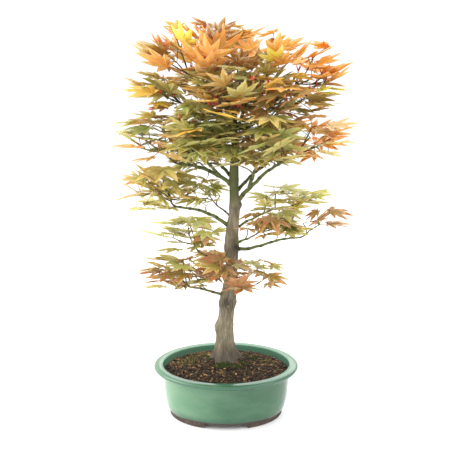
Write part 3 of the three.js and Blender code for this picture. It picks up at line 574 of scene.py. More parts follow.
def on_soil(draw):
    """An even draw of a place on the soil, clear of the trunk."""
    along_pot, across_pot = STREWN["along"], STREWN["across"]
    while True:
        x, y = draw(-along_pot, along_pot), draw(-across_pot, across_pot)
        off_trunk = math.hypot(x - MOUND["x"], y - MOUND["y"])
        if math.hypot(x / along_pot, y / across_pot) < 1 and off_trunk > STREWN["off_trunk"]:
            return x, y


def turned(points, azimuth, lean):
    """Points leaned over sideways, then turned about the upright, in degrees."""
    a, b = math.radians(azimuth), math.radians(lean)
    lean_over = np.array([[1, 0, 0], [0, math.cos(b), -math.sin(b)], [0, math.sin(b), math.cos(b)]])
    turn = np.array([[math.cos(a), -math.sin(a), 0], [math.sin(a), math.cos(a), 0], [0, 0, 1]])
    return points @ (turn @ lean_over).T


draw = Draws(301)
points, faces, picks = [], [], []
for _ in range(CHIPS["count"]):
    x, y = on_soil(draw)
    size = CHIPS["least"] + CHIPS["more"] * draw(0, 1) ** CHIPS["seldom"]
    shape = np.array([draw(*limits) for limits in CHIPS["shape"]]) * size
    corners = np.array([draw(*CHIPS["corners"]) for _ in CHIP_POINTS])[:, None]
    chip = turned(CHIP_POINTS * corners * shape, draw(0, 360), draw(-CHIPS["lean"], CHIPS["lean"]))
    chip += (x, y, soil_height(x, y) + crumbs(x, y) + CHIPS["seat"] * size)
    faces += [tuple(corner + len(points) for corner in face) for face in CHIP_FACES]
    points += chip.tolist()
    picks += [pick(draw, CHIP_SHARES)] * len(CHIP_FACES)
chips = mesh_piece("soil_chips", points, faces, plains("chip", CHIP_TONES, 0.85), picks)
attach(chips, "root")


# Fibres on the soil. Dead roots and threads of bark, brown and dry, that have come up to the top of
# the soil and lie loose on it, each a little bowed.
FIBRES = 130
FIBRE = {"half_length": (2.5, 8), "bow": 1.5, "above": 0.9, "wave": 0.5}
FIBRE_STEPS = {-1: 0.22, -0.4: 0.32, 0.3: 0.3, 1: 0.14}  # places along it and its radius there
FIBRE_TONES = [(96, 66, 44), (132, 100, 62), (172, 142, 92), (62, 44, 30)]
FIBRE_SHARES = [3, 3, 1.5, 2]


def tubes(lines, radii, sides):
    """Closed round rods, one along each line of points, with one radius for each point."""
    lines = np.asarray(lines, float)
    count, steps, _ = lines.shape
    way = np.gradient(lines, axis=1)
    way /= np.linalg.norm(way, axis=2, keepdims=True) + 1e-12
    level = np.abs(way[:, :, 2:]) < 0.95
    aside = np.where(level, np.cross(way, (0, 0, 1)), np.cross(way, (1, 0, 0)))
    aside /= np.linalg.norm(aside, axis=2, keepdims=True)
    over = np.cross(aside, way)
    turn = 2 * np.pi * np.arange(sides) / sides
    around = (
        aside[:, :, None] * np.cos(turn)[None, None, :, None]
        + over[:, :, None] * np.sin(turn)[None, None, :, None]
    )
    rods = lines[:, :, None] + around * np.broadcast_to(radii, (count, steps))[:, :, None, None]
    corners = np.arange(count * steps * sides).reshape(count, steps, sides)
    after = np.roll(corners, -1, axis=2)
    walls = np.stack([corners[:, :-1], corners[:, 1:], after[:, 1:], after[:, :-1]], axis=-1)
    ends = np.concatenate([corners[:, 0], corners[:, -1, ::-1]])
    return rods.reshape(-1, 3), walls.reshape(-1, 4).tolist(), ends.tolist()


def tone_picks(picks, walls, ends):
    """The material of every face of rods, from the material of each rod."""
    return np.repeat(picks, len(walls) // len(picks)).tolist() + picks * (len(ends) // len(picks))


draw = Draws(302)
lines, picks = [], []
for _ in range(FIBRES):
    x, y = on_soil(draw)
    way, long = draw(0, 2 * math.pi), draw(*FIBRE["half_length"])
    bow = draw(-FIBRE["bow"], FIBRE["bow"])
    line = []
    for t in FIBRE_STEPS:
        px = x + long * t * math.cos(way) - bow * (1 - t * t) * math.sin(way)
        py = y + long * t * math.sin(way) + bow * (1 - t * t) * math.cos(way)
        above = FIBRE["above"] + FIBRE["wave"] * math.sin(3 * t + bow)
        line.append((px, py, soil_height(px, py) + above))
    lines.append(line)
    picks.append(pick(draw, FIBRE_SHARES))
points, walls, ends = tubes(lines, list(FIBRE_STEPS.values()), 4)
fibre_tones = plains("fibre", FIBRE_TONES, 0.8)
fibres = mesh_piece("soil_fibres", points, walls + ends, fibre_tones, tone_picks(picks, walls, ends))
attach(fibres, "root")


# Moss. Cushions of short upright blades that have grown on the moist soil, deep green and thickest
# before the trunk, and thinner and yellower beside and behind it.
MOSS_PATCHES = [  # x, y, half width, half depth, blades, tone
    (-3, -14, 16, 6, 620, 0), (15, -16, 10, 4, 200, 0), (-24, 10, 5, 8, 150, 0),
    (-38, 26, 11, 9, 110, 1), (34, 20, 12, 9, 110, 1), (42, 38, 14, 9, 90, 2), (26, -5, 8, 6, 120, 0),
    (-52, 30, 12, 10, 70, 2), (-56, 12, 18, 16, 230, 2), (-28, 42, 18, 10, 190, 2),
    (62, 14, 12, 14, 110, 2),
]
MOSS_BLADE = {"lean": 0.8, "height": (1.1, 2.3), "radii": [0.34, 0.26, 0.06]}
MOSS_DOME = {"middle": 1.2, "falls": 0.5}  # a cushion's blades are shorter towards its edge
MOSS_TONES = [(54, 78, 24), (72, 88, 34), (104, 104, 46), (150, 142, 62)]
draw = Draws(303)
lines, picks = [], []
for x, y, half_width, half_depth, blades, tone in MOSS_PATCHES:
    for _ in range(blades):
        way, out = draw(0, 2 * math.pi), math.sqrt(draw(0, 1))
        px, py = x + half_width * out * math.cos(way), y + half_depth * out * math.sin(way)
        foot = np.array([px, py, soil_height(px, py) + 0.4 * crumbs(px, py)])
        lean_x, lean_y = (draw(-MOSS_BLADE["lean"], MOSS_BLADE["lean"]) for _ in range(2))
        height = draw(*MOSS_BLADE["height"]) * (MOSS_DOME["middle"] - MOSS_DOME["falls"] * out)
        lean = np.array([lean_x, lean_y, height])
        lines.append([foot, foot + lean * 0.6, foot + lean * 1.1 + (0, 0, 0.1)])
        picks.append(min(len(MOSS_TONES) - 1, tone + (draw(0, 1) > 0.7)))
points, walls, ends = tubes(lines, MOSS_BLADE["radii"], 3)
moss_tones = plains("moss", MOSS_TONES, 0.8)
moss = mesh_piece("moss", points, walls + ends, moss_tones, tone_picks(picks, walls, ends))
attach(moss, "root")


# Trunk. One slim stem in a slow S, flared where its roots enter the soil, with a ring and a boss
# where the lowest boughs leave it. Its bark is grey and finely cracked below, green and smooth above.
TRUNK = [  # height, centre right and away, radius
    (76.3, 1, 14, 15.2), (98, -1.5, 13, 14.4), (134, -0.8, 11, 12.5), (171, 3, 9, 11.8),
    (200, 6.5, 7.5, 10.3), (225, 8.5, 6.5, 9.7), (251, 8, 6, 11.2), (277, 9, 5.5, 9.9),
    (298, 11.8, 5, 8.4), (354, 11, 4.5, 7.6), (385, 12.5, 4.5, 6.6), (424, 12.5, 5, 4.4),
    (446, 13.5, 6, 2.6),
]
FLARE = {"spread": 9, "fade": 7, "low": 3.5, "low_fade": 20, "roots": 7, "cut": 0.3}
KNOBS = [  # height, azimuth, how far out, how tall, how wide in degrees, how dark
    (166, -98, 1.8, 12, 52, 1.0), (158, -74, 1.2, 9, 38, 0.95), (163, 190, 2.4, 7, 40, 0.4),
    (164, -12, 2.6, 7, 40, 0.3), (128, 184, 3.4, 7, 40, 0.25), (121, 184, 2.2, 5, 40, 0.2),
    (247, -56, 3.4, 8.5, 42, 1.2), (243, 180, 1.6, 9, 60, 0.3), (309, -20, 3.6, 6, 40, 0.7),
    (176, 90, 1.4, 5, 300, 0.5),
]
RINGS = [(304, 3.2, 1), (259, 2.5, 0.8), (343, 2.2, 0.6), (214, 2, 0.5)]  # height, half width, share
GRAIN = {  # how fine each pattern of the bark is round the trunk, and how tall
    "swell": (1.6, 32), "lines": (9, 17), "fine": (21, 8), "wrinkle": (3, 2.4), "rough": (8, 3),
    "grain": (24, 1.6), "pits": (13, 2.6),
}
RELIEF = {  # how far each of these makes the bark stand out or lie deeper
    "ring": 0.5, "swell": 0.7, "lines": 0.22, "cracks": 0.3, "young": 0.1, "grain": 0.16,
    "wrinkle": 0.26, "strands": 2.5, "pits": 0.9, "knot": 1.5, "knot_cracks": 0.5,
}
BARK_AGE = {"middle": 270, "fade": 28, "roots": 14}  # where old bark turns to young; the roots' reach
TRUNK_BLANK = 10  # radius of the rod that it is shaped from
TRUNK_SIDES = 132
TRUNK_CUTS = 279
TRUNK_BARK = {  # colours, heights between which it turns green, and heights that the soil has stained
    "dark": (0.168, 0.139, 0.089), "pale": (0.325, 0.275, 0.185), "green": (0.083, 0.1, 0.025),
    "cracks": (0.06, 0.048, 0.03), "knots": (0.046, 0.04, 0.024), "turns_green": (288, 334),
    "stained": (108, 78),
}
SOIL_STAIN = (0.045, 0.035, 0.026)


@functools.lru_cache(maxsize=None)
def trunk_at(z):
    """The trunk's centre and radius at a height, on one smooth line through its stations."""
    i = 0
    while i < len(TRUNK) - 2 and z > TRUNK[i + 1][0]:
        i += 1
    stations = (min(max(n, 0), len(TRUNK) - 1) for n in range(i - 1, i + 3))
    before, a, b, after = (np.array(TRUNK[n], float) for n in stations)
    span = b[0] - a[0]
    t = (z - a[0]) / span
    leave, arrive = (b - before) / (b[0] - before[0]) * span, (after - a) / (after[0] - a[0]) * span
    now = (
        a * (1 - 3 * t * t + 2 * t**3)
        + leave * (t - 2 * t * t + t**3)
        + b * (3 * t * t - 2 * t**3)
        + arrive * (t**3 - t * t)
    )
    return np.array([now[1], now[2], z]), now[3]


def off_knob(z, angle, height, azimuth, tall, wide):
    """How far a place on the bark is from a knob's middle, where 1 is near the knob's edge."""
    off = math.degrees(math.remainder(angle - math.radians(azimuth), 2 * math.pi))
    return math.hypot((z - height) / tall, off / wide)


def grain(name, z, angle, shift=0.0):
    """One pattern of the bark at a place, from about -1 to 1."""
    fine, tall = GRAIN[name]
    return noise.noise(Vector((math.cos(angle) * fine, math.sin(angle) * fine, z / tall + shift)))


def bark(z, angle):
    """The trunk's radius at a place, and how dark the bark is there: in cracks, and at knobs."""
    above = z - TRUNK[0][0]
    radius = trunk_at(z)[1]
    swell = grain("swell", z, angle)
    between = math.cos(FLARE["roots"] * angle + 0.9 + 2.5 * swell)
    spreading = (1 - FLARE["cut"]) + FLARE["cut"] * between
    radius += FLARE["spread"] * math.exp(-above / FLARE["fade"]) * spreading
    radius += FLARE["low"] * (math.exp(-above / FLARE["low_fade"]) - 0.35)
    knot = 0.0
    for height, azimuth, out, tall, wide, darkness in KNOBS:
        off = off_knob(z, angle, height, azimuth, tall, wide)
        radius += out * math.exp(-off * off)
        if darkness > 1:  # an old wound, hollow in its rolled lip
            radius -= 1.3 * out * math.exp(-((off / 0.42) ** 2))
        knot = max(knot, math.exp(-((off / 0.8) ** 2)) * darkness)
    ring = sum(share * math.exp(-(((z - height) / half) ** 2)) for height, half, share in RINGS)
    old = 1 / (1 + math.exp((z - BARK_AGE["middle"]) / BARK_AGE["fade"]))
    roots = math.exp(-above / BARK_AGE["roots"])
    lines, fine = grain("lines", z, angle, swell), grain("fine", z, angle, swell)
    wrinkle = grain("wrinkle", z, angle, 2 * lines)
    x, y = 7 * math.cos(angle), 7 * math.sin(angle)
    strands = noise.noise(Vector((x + z / 18, y - z / 25, z / 24 + 3)))  # these wind round the trunk
    rough = grain("rough", z, angle, 7)
    pits = max(0.0, grain("pits", z, angle, 31) - 0.28)
    radius += RELIEF["ring"] * ring + RELIEF["swell"] * swell + RELIEF["young"] * fine
    radius += old * (RELIEF["lines"] * lines + RELIEF["cracks"] * fine - RELIEF["pits"] * pits)
    radius += old * RELIEF["grain"] * grain("grain", z, angle)
    radius += RELIEF["wrinkle"] * wrinkle * (0.5 * old + 2.2 * roots + ring)
    radius += RELIEF["strands"] * roots * strands
    radius += knot * (RELIEF["knot"] * rough + RELIEF["knot_cracks"] * fine)
    # How dark it is follows the depth of each, and isn't a size.
    crack = max(0.0, -lines) * 1.1 + max(0.0, -fine) * 1.3 + 1.6 * pits
    dark = min(1.0, crack * (0.3 + 0.7 * old) + 1.3 * roots * max(0.0, -strands - 0.08)) * 0.8
    return radius, min(1.0, dark + 0.45 * ring * (0.6 + rough)), min(1.0, knot * (0.95 + 1.2 * rough))


trunk_long = TRUNK[-1][0] - TRUNK[0][0]
trunk = new_object(
    "cylinder", "trunk_bark", vertices=TRUNK_SIDES, radius=TRUNK_BLANK / 1000, depth=trunk_long / 1000,
    end_fill_type="TRIFAN", location=placed((0, 0, TRUNK[0][0] + trunk_long / 2)),
)
bpy.ops.object.mode_set(mode="EDIT")
bpy.ops.mesh.select_mode(type="EDGE")
bpy.ops.mesh.select_all(action="DESELECT")
bpy.ops.object.mode_set(mode="OBJECT")
for edge in trunk.data.edges:
    one_end, other_end = (trunk.data.vertices[i].co.z for i in edge.vertices)
    edge.select = abs(one_end - other_end) > trunk_long / 2000  # an upright edge
bpy.ops.object.mode_set(mode="EDIT")
bpy.ops.mesh.subdivide(number_cuts=TRUNK_CUTS)
bpy.ops.mesh.select_mode(type="VERT")
finish_shape(trunk, 60)

spots = np.empty(len(trunk.data.vertices) * 3)
trunk.data.vertices.foreach_get("co", spots)
spots = spots.reshape(-1, 3)
crack_depth, knot_depth = [], []
for spot in spots:
    x, y, z = (spot - POT_MIDDLE) * 1000
    z = min(max(z, TRUNK[0][0]), TRUNK[-1][0])
    centre, _ = trunk_at(z)
    angle = math.atan2(y, x)
    radius, dark, knot = bark(z, angle)
    crack_depth.append(dark)
    knot_depth.append(knot)
    on_side = math.hypot(x, y) > TRUNK_BLANK / 2  # all but the middles of the two ends
    spot[:] = placed(centre + on_side * radius * np.array([math.cos(angle), math.sin(angle), 0]))
trunk.data.vertices.foreach_set("co", spots.ravel())


def carry(made, name, values):
    """Keeps one number for each point of a mesh, for its material."""
    made.data.attributes.new(name, "FLOAT", "POINT").data.foreach_set("value", values)


def shade_smooth(made):
    made.data.polygons.foreach_set("use_smooth", [True] * len(made.data.polygons))


carry(trunk, "crack", crack_depth)
carry(trunk, "knot", knot_depth)
shade_smooth(trunk)


def bark_material(name, dark, pale, green, turns_green, cracks, knots, stained=None):
    """Mottled bark that turns green between two heights, dark in its cracks and at its knots."""
    material, tree, surface = nodes_of(name)
    mottle = pattern(tree, "TexNoise", 130, (1, 1, 0.35), Detail=5.0, Roughness=0.65)
    fine = pattern(tree, "TexNoise", 520, (1, 1, 0.3), Detail=3.0)
    colour = mix_colours(tree, ramp(tree, mottle.outputs[0], 0.36, 0.66), dark, pale)
    patches = ramp(
        tree, pattern(tree, "TexNoise", 42, (1, 1, 0.6), Detail=3.0).outputs[0], 0.4, 0.7, -0.12, 0.2
    )
    greener = added(tree, band(tree, "Z", *turns_green), 1.0, patches, held=True)
    colour = mix_colours(tree, greener, colour, green)
    if stained:
        colour = mix_colours(tree, band(tree, "Z", *stained, 0.0, 0.8), colour, SOIL_STAIN)
    for attribute, tone in (("crack", cracks), ("knot", knots)):
        depth = node(tree, "Attribute", attribute_name=attribute)
        colour = mix_colours(tree, depth.outputs["Fac"], colour, tone)
    colour = mix_colours(tree, ramp(tree, fine.outputs[0], 0.62, 0.78, 0.0, 0.3), colour, cracks)
    tree.links.new(colour, surface.inputs["Base Color"])
    surface.inputs["Roughness"].default_value = 0.82
    raise_by(tree, surface, fine.outputs[0], 0.55, 0.0006)
    return material


trunk.data.materials.clear()
trunk.data.materials.append(bark_material("trunk_bark", **TRUNK_BARK))
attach(trunk, "root")
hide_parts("trunk")


# Boughs. Thin limbs that grow from the trunk, and three from another bough, each with a swelling at
# its foot and dark nodes along it, where leaves once grew. They are green, and the lowest browner.
AXIS = (8, 5)  # places in the crown are given by azimuth, distance out of this axis, and height
SEAT_GAP = 0.3
BOUGHS = {  # parent and where on it; azimuth, distance out and height of the tip; radii; slopes
    "low_left": ("trunk", 174, -168, 61, 191, (2.1, 1.4), (12, 8)),
    "second_left": ("trunk", 206, 151, 52, 232, (2.0, 1.3), (30, 20)),
    "right_low": ("trunk", 244, -3, 92, 261, (2.7, 1.2), (-8, 2)),
    "right_front": ("trunk", 249, -50, 40, 268, (2.0, 1.3), (30, 30)),
    "right_back": ("trunk", 268, 34, 60, 290, (2.0, 1.3), (35, 15)),
    "left_mid": ("trunk", 272, -170, 76, 307, (2.9, 1.5), (48, 6)),
    "right_high": ("trunk", 306, -8, 74, 371, (3.3, 1.6), (55, 28)),
    "back_right": ("trunk", 322, 42, 62, 356, (2.6, 1.5), (40, 18)),
    "left_high": ("trunk", 331, -167, 74, 368, (3.1, 1.6), (50, 6)),
    "back_left": ("trunk", 342, 127, 58, 372, (2.6, 1.5), (40, 18)),
    "right_high_side": ("right_high", 0.36, -42, 56, 380, (2.3, 1.4), (72, 36)),
    "left_high_side": ("left_high", 0.34, -140, 70, 388, (2.3, 1.4), (48, 26)),
    "leader_right": ("trunk", 362, -5, 62, 434, (2.9, 1.5), (60, 34)),
    "leader_left": ("trunk", 370, -174, 54, 440, (2.9, 1.5), (62, 34)),
    "leader_front": ("trunk", 378, -99, 46, 437, (2.5, 1.4), (62, 36)),
    "leader_back": ("trunk", 384, 84, 44, 436, (2.5, 1.4), (62, 36)),
    "leader_front_right": ("trunk", 392, -48, 60, 438, (2.4, 1.4), (55, 30)),
    "crown_left": ("trunk", 399, -171, 48, 478, (2.5, 1.3), (70, 48)),
    "crown_right": ("trunk", 407, -27, 44, 477, (2.3, 1.3), (70, 48)),
    "crown_back": ("trunk", 414, 92, 32, 477, (2.1, 1.2), (72, 55)),
    "crown_front": ("trunk", 420, -122, 32, 480, (2.1, 1.2), (74, 58)),
    "crown_far_right": ("leader_right", 0.5, -3, 74, 465, (2.1, 1.3), (66, 40)),
}
BOUGH_SIDES = 14
BOUGH_RINGS = 72
BOUGH = {  # how it wanders, swells at its foot, and is thicker at its nodes and rough all over
    "wander": 1.5, "wander_length": 11, "swelling": 1.6, "swelling_length": 6, "node_gap": 15,
    "node_height": 0.42, "node_length": 1.5, "lumps": 2.6, "lump_share": 0.09,
}
BOUGH_BARK = {
    "dark": (0.15, 0.145, 0.06), "pale": (0.22, 0.21, 0.085), "green": (0.115, 0.15, 0.035),
    "cracks": (0.07, 0.058, 0.03), "knots": (0.03, 0.024, 0.018), "turns_green": (150, 300),
}


def heading(azimuth, slope):
    a, s = math.radians(azimuth), math.radians(slope)
    return np.array([math.cos(a) * math.cos(s), math.sin(a) * math.cos(s), math.sin(s)])


def place(azimuth, out, z):
    return np.array([*AXIS, 0]) + heading(azimuth, 0) * out + (0, 0, z)


def along(line, t):
    """The point at share t of a curve, from its three or four guide points."""
    points = list(line)
    while len(points) > 1:
        points = [a + (b - a) * t for a, b in zip(points, points[1:])]
    return points[0]


def way_at(line, t):
    way = along(line, min(1, t + 1e-4)) - along(line, max(0, t - 1e-4))
    return way / np.linalg.norm(way)


bough_lines = {}
for name, (parent, at, azimuth, out, z, _, slopes) in BOUGHS.items():
    start = trunk_at(at)[0] if parent == "trunk" else along(bough_lines[parent], at)
    tip = place(azimuth, out, z)
    reach = np.linalg.norm(tip - start) / 3
    turn = math.degrees(math.atan2(tip[1] - start[1], tip[0] - start[0]))
    bough_lines[name] = (
        start, start + heading(turn, slopes[0]) * reach, tip - heading(turn, slopes[1]) * reach, tip,
    )


def nodes_along(draw, long, gap):
    """Places of the dark nodes on a limb, as distances from its foot."""
    places, at = [], draw(0.5, 1) * gap
    while at < long:
        places.append(at)
        at += gap * draw(0.75, 1.3)
    return places


draw = Draws(401)
lines, radii, crack_depth, knot_depth = [], [], [], []
t = np.linspace(0, 1, BOUGH_RINGS)[:, None]
for name, (*_, (first, last), _) in BOUGHS.items():
    line = along(bough_lines[name], t)
    long = np.concatenate([[0], np.cumsum(np.linalg.norm(np.diff(line, axis=0), axis=1))])
    own = first * 10 + last  # boughs of other radii wander otherwise
    wander = np.array([
        [noise.noise(Vector((at / BOUGH["wander_length"], axis * 7.3, own))) for axis in range(3)]
        for at in long
    ])
    line = line + wander * BOUGH["wander"] * np.sin(np.pi * t) ** 0.5
    knots = np.zeros(BOUGH_RINGS)
    for at in nodes_along(draw, long[-1], BOUGH["node_gap"]):
        knots = np.maximum(knots, np.exp(-(((long - at) / BOUGH["node_length"]) ** 2)))
    swelling = BOUGH["swelling"] * np.exp(-long / BOUGH["swelling_length"])
    lines.append(line)
    radii.append(first + (last - first) * t[:, 0] + swelling + BOUGH["node_height"] * knots)
    crack_depth.append(np.repeat(0.35 * np.exp(-long / 14), BOUGH_SIDES))
    knot_depth.append(np.repeat(knots * 0.85, BOUGH_SIDES))
points, walls, ends = tubes(lines, np.array(radii), BOUGH_SIDES)
lumps = np.array([noise.noise(Vector(point / BOUGH["lumps"])) for point in points])
centres = np.repeat(np.array(lines).reshape(-1, 3), BOUGH_SIDES, axis=0)
points = points + (points - centres) * (BOUGH["lump_share"] * lumps[:, None])
boughs = mesh_piece("boughs_bark", points, walls + ends, [bark_material("bough_bark", **BOUGH_BARK)])
carry(boughs, "crack", np.clip(np.concatenate(crack_depth) + 0.3 * np.clip(lumps, 0, 1), 0, 1))
carry(boughs, "knot", np.concatenate(knot_depth))
shade_smooth(boughs)
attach(boughs, "root")
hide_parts(*("bough_" + name for name in BOUGHS))


# Foliage. Each bough feeds one mass of leaves: a stem divides into twigs, and each twig ends in a
# bud with palmate leaves on long stalks. Finer side twigs fill the same space with smaller leaves.
MASSES = {  # what it grows from, azimuth, out, height, half sizes, twigs, leaf, slope, side twigs
    "low_left": ("low_left", -168, 72, 214, (66, 56, 34), 4, 42, 3, 9),
    "low_front": (180, -100, 46, 218, (46, 52, 34), 3, 41, 3, 6),
    "low_right": (172, -10, 46, 208, (48, 34, 22), 2, 36, 0, 1),
    "low_back": (190, 112, 54, 211, (50, 48, 21), 2, 38, 2, 3),
    "second_left": ("second_left", 160, 66, 266, (76, 50, 22), 4, 38, 4, 4),
    "right_front": ("right_front", -36, 68, 290, (50, 56, 21), 3, 42, -3, 3),
    "right_tip": ("right_low", -2, 132, 288, (48, 34, 24), 1, 36, 1, 1),
    "right_back": ("right_back", 24, 98, 309, (76, 56, 28), 3, 36, 3, 1),
    "left_mid": ("left_mid", -172, 100, 338, (70, 58, 36), 4, 42, 2, 6),
    "left_inner": (286, 150, 44, 324, (40, 42, 28), 1, 34, -8, 3),
    "mid_left": ("left_high", -177, 112, 407, (60, 58, 42), 4, 43, 2, 4),
    "mid_front_left": ("left_high_side", -123, 78, 414, (58, 58, 38), 4, 44, -2, 10),
    "mid_front_right": ("right_high_side", -52, 76, 411, (58, 58, 39), 4, 44, -2, 9),
    "mid_right": ("right_high", -2, 122, 404, (62, 54, 40), 4, 43, 3, 2),
    "mid_back_right": ("back_right", 46, 100, 392, (58, 60, 42), 3, 42, -3, 7),
    "mid_back_left": ("back_left", 129, 97, 394, (60, 62, 42), 3, 42, -3, 7),
    "upper_left": ("leader_left", -177, 92, 468, (62, 58, 36), 3, 43, 4, 3),
    "upper_front": ("leader_front", -99, 80, 468, (54, 58, 36), 4, 45, 4, 9),
    "upper_front_right": ("leader_front_right", -46, 90, 464, (54, 52, 36), 3, 44, 3, 6),
    "upper_right": ("leader_right", -3, 104, 462, (64, 52, 34), 3, 43, 4, 4),
    "upper_back": ("leader_back", 86, 80, 464, (58, 80, 38), 4, 43, 2, 8),
    "top_left": ("crown_left", -174, 82, 518, (58, 54, 44), 4, 46, 12, 3),
    "top_front": ("crown_front", -131, 52, 524, (48, 50, 44), 3, 48, 18, 5),
    "top_middle": (446, 16, 18, 522, (42, 44, 42), 2, 44, 16, 3),
    "top_right": ("crown_right", -28, 66, 514, (48, 50, 44), 3, 46, 16, 2),
    "top_far_right": ("crown_far_right", -3, 110, 496, (56, 52, 38), 4, 45, 10, 2),
    "top_back": ("crown_back", 92, 60, 518, (52, 62, 42), 4, 46, 16, 4),
}
GROWTH = {
    "hub": 0.42,  # how far along from its start to the centre a stem divides
    "spread": 0.4,  # share of the space over which the twig tips are spread
    "inward": 0.08,  # and by how much they lie nearer to the trunk
    "dome": 0.5,  # how much lower the outer tips are
    "tip_heights": (-0.7, 0.4),  # shares of half the space's height
    "tip_sink": 0.003,  # less this for each degree that the leaves stand up
    "feet": (0.55, 0.45),  # the twigs leave the last part of their stem
    "sag": (0.02, 0.14),  # shares of a twig's length
    "leaves_at_tip": 4,
    "stalk": (8, 30),
    "stalk_slopes": (6, 34),  # in turn round a bud
    "stalk_stray": 6,
    "stalk_rises": 0.6,  # for each degree that the leaves stand up
    "sizes": (0.98, 1.26),  # times the size that the mass gives
    "tilt": 18,
    "standing": 95,  # some leaves of a flat mass stand up
    "standing_from": 0.7,
    "flat_under": 6,
    "lean": 21,
    "free": 60,  # tilt and lean double where the leaves stand up by this much
    "stray": (30, 75),  # degrees from its place round the bud, at the first try and at most
    "outward": 0.3,
    "twig_tries": 8,
    "tries": 60,
    "tries_at_once": 8,
    "shrink": 0.008,  # for each try
    "margin": 0.02,  # share of a leaf's size that is kept free round it
    "apart": 0.9,  # what is kept free over and under it
    "clearance": 1.5,  # what is kept free round the limbs
    "share": 0.03,  # how much deeper in its own mass's space than in any other a leaf lies
}
FINER = {  # the finer twigs of a mass, and the shoots of boughs and trunk
    "tries_each": 4, "foot": (0.25, 0.9), "within": 0.88, "clearance": 1.2, "turns": (28, 100),
    "slopes": (-8, 42), "ahead": 0.25, "aside": 0.4, "long": (12, 34), "radius": 0.75, "leaves": 3,
    "stalk": (6, 26), "sizes": (0.78, 1.15), "tries": 24, "apart": 0.35, "margin": 0.0, "reach": 1.0,
}
SHOOTS = {
    "tries": 6, "foot": (0.3, 0.95), "long": (12, 30), "radius": 0.8, "rise": 10, "leaf": 42,
    "leaves": 3, "slopes": (-8, 14), "erect": (430, 510), "reach": 1.08,
    "column": 66, "from": 362, "to": 505,  # and they may fill this space round the trunk
}
BOUGH_SHOOTS = {
    "low_left": 1, "second_left": 1, "right_low": 2, "right_front": 1, "right_back": 1, "left_mid": 2,
    "crown_front": 11, "crown_right": 10, "leader_front": 9, "leader_front_right": 9,
}
BOUGH_SHOOTS_ELSE = 7
TRUNK_SHOOT = {"tries": 4, "stray": 20, "long": (18, 44), "slopes": (5, 40), "sag": 0.06, "leaves": 4}
SHOOT_AZIMUTHS = (-95, 60, -60, -130, 150, -80, 10, -110, 100, -45)
TRUNK_SHOOTS = list(zip(range(366, 446, 5), SHOOT_AZIMUTHS * 2))  # height, azimuth
STEM_RADIUS = 1.5
TWIG = {"radius": 1.1, "stalk": 0.7}
LIMB_STEP = 13  # the length of a straight stretch of the trunk, for what keeps clear of it
NEAR_LIMB, NEAR_WOOD = 130, 90
BLADE = {  # shares of a leaf's size: its middle, its reach from there, its lobes' widths
    "middle": 0.35, "reach": 0.76, "lobe_foot": 0.13, "lobe_tip": 0.1,
}
OUTLINE = [(0, 1), (20, 0.42), (41, 0.88), (64, 0.36), (92, 0.58), (180, 0.05)]  # angle, reach
HANG = 0.02  # how far a blade's lobes hang at their tips, as a share of the leaf
CUPPED = -0.021  # and how much less for every degree that the blades of a mass stand up
GOLDEN_ANGLE = 2.399963
GOLDEN_SHARE = 0.618034
UP = np.array([0.0, 0, 1])

mass_names = list(MASSES)
centres = np.array([place(*MASSES[name][1:4]) for name in mass_names])
ways = np.array([[heading(MASSES[n][1], 0), heading(MASSES[n][1] + 90, 0), UP] for n in mass_names])
halves = np.array([MASSES[name][4] for name in mass_names], float)


def depths(points):
    """How far out of the centre of each mass's space points lie, where 1 is its edge."""
    from_centre = np.asarray(points)[..., None, :] - centres
    shares = np.abs(np.einsum("...mk,mjk->...mj", from_centre, ways)) / halves
    return np.cbrt((shares**3).sum(axis=-1))


def owned(index, points):
    """Which points lie in one mass's space, and deeper in it than in any other."""
    deep = depths(points)
    own = deep[..., index].copy()
    deep[..., index] = np.inf
    return (own <= 1) & (deep.min(axis=-1) > own + GROWTH["share"])


def in_crown(points):
    """Which points lie in some mass's space, or near the trunk between the masses."""
    points = np.asarray(points)
    out = np.hypot(points[..., 0] - AXIS[0], points[..., 1] - AXIS[1])
    height = points[..., 2]
    column = (out < SHOOTS["column"]) & (height > SHOOTS["from"]) & (height < SHOOTS["to"])
    return column | (depths(points).min(axis=-1) <= SHOOTS["reach"])


def gaps(a, b, c, d):
    """The shortest distances between straight stretches a to b and others c to d."""
    u, v, w = b - a, d - c, a - c
    uu, uv, vv = (u * u).sum(-1), (u * v).sum(-1), (v * v).sum(-1)
    uw, vw = (u * w).sum(-1), (v * w).sum(-1)
    even = uu * vv - uv * uv
    s = np.where(even > 1e-9, np.clip((uv * vw - vv * uw) / np.maximum(even, 1e-9), 0, 1), 0)
    t = np.clip((uv * s + vw) / vv, 0, 1)
    s = np.clip((uv * t - uw) / uu, 0, 1)
    return np.linalg.norm(w + u * s[..., None] - v * t[..., None], axis=-1)


# The trunk, the boughs and the stems, as straight stretches that twigs and leaves keep clear of.
stretches = []
foot = TRUNK[0][0]
while foot < TRUNK[-1][0]:
    top = min(foot + LIMB_STEP, TRUNK[-1][0])
    stretches.append((trunk_at(foot)[0], trunk_at(top)[0], trunk_at(foot)[1], -1))
    foot += LIMB_STEP
for name, (*_, (first, last), _) in BOUGHS.items():
    for i in range(5):
        a, b = along(bough_lines[name], i / 5), along(bough_lines[name], (i + 1) / 5)
        stretches.append((a, b, first + (last - first) * i / 5, -1))


def tip_height(slope, share):
    low, high = GROWTH["tip_heights"]
    return low + (high - low) * share - GROWTH["tip_sink"] * slope


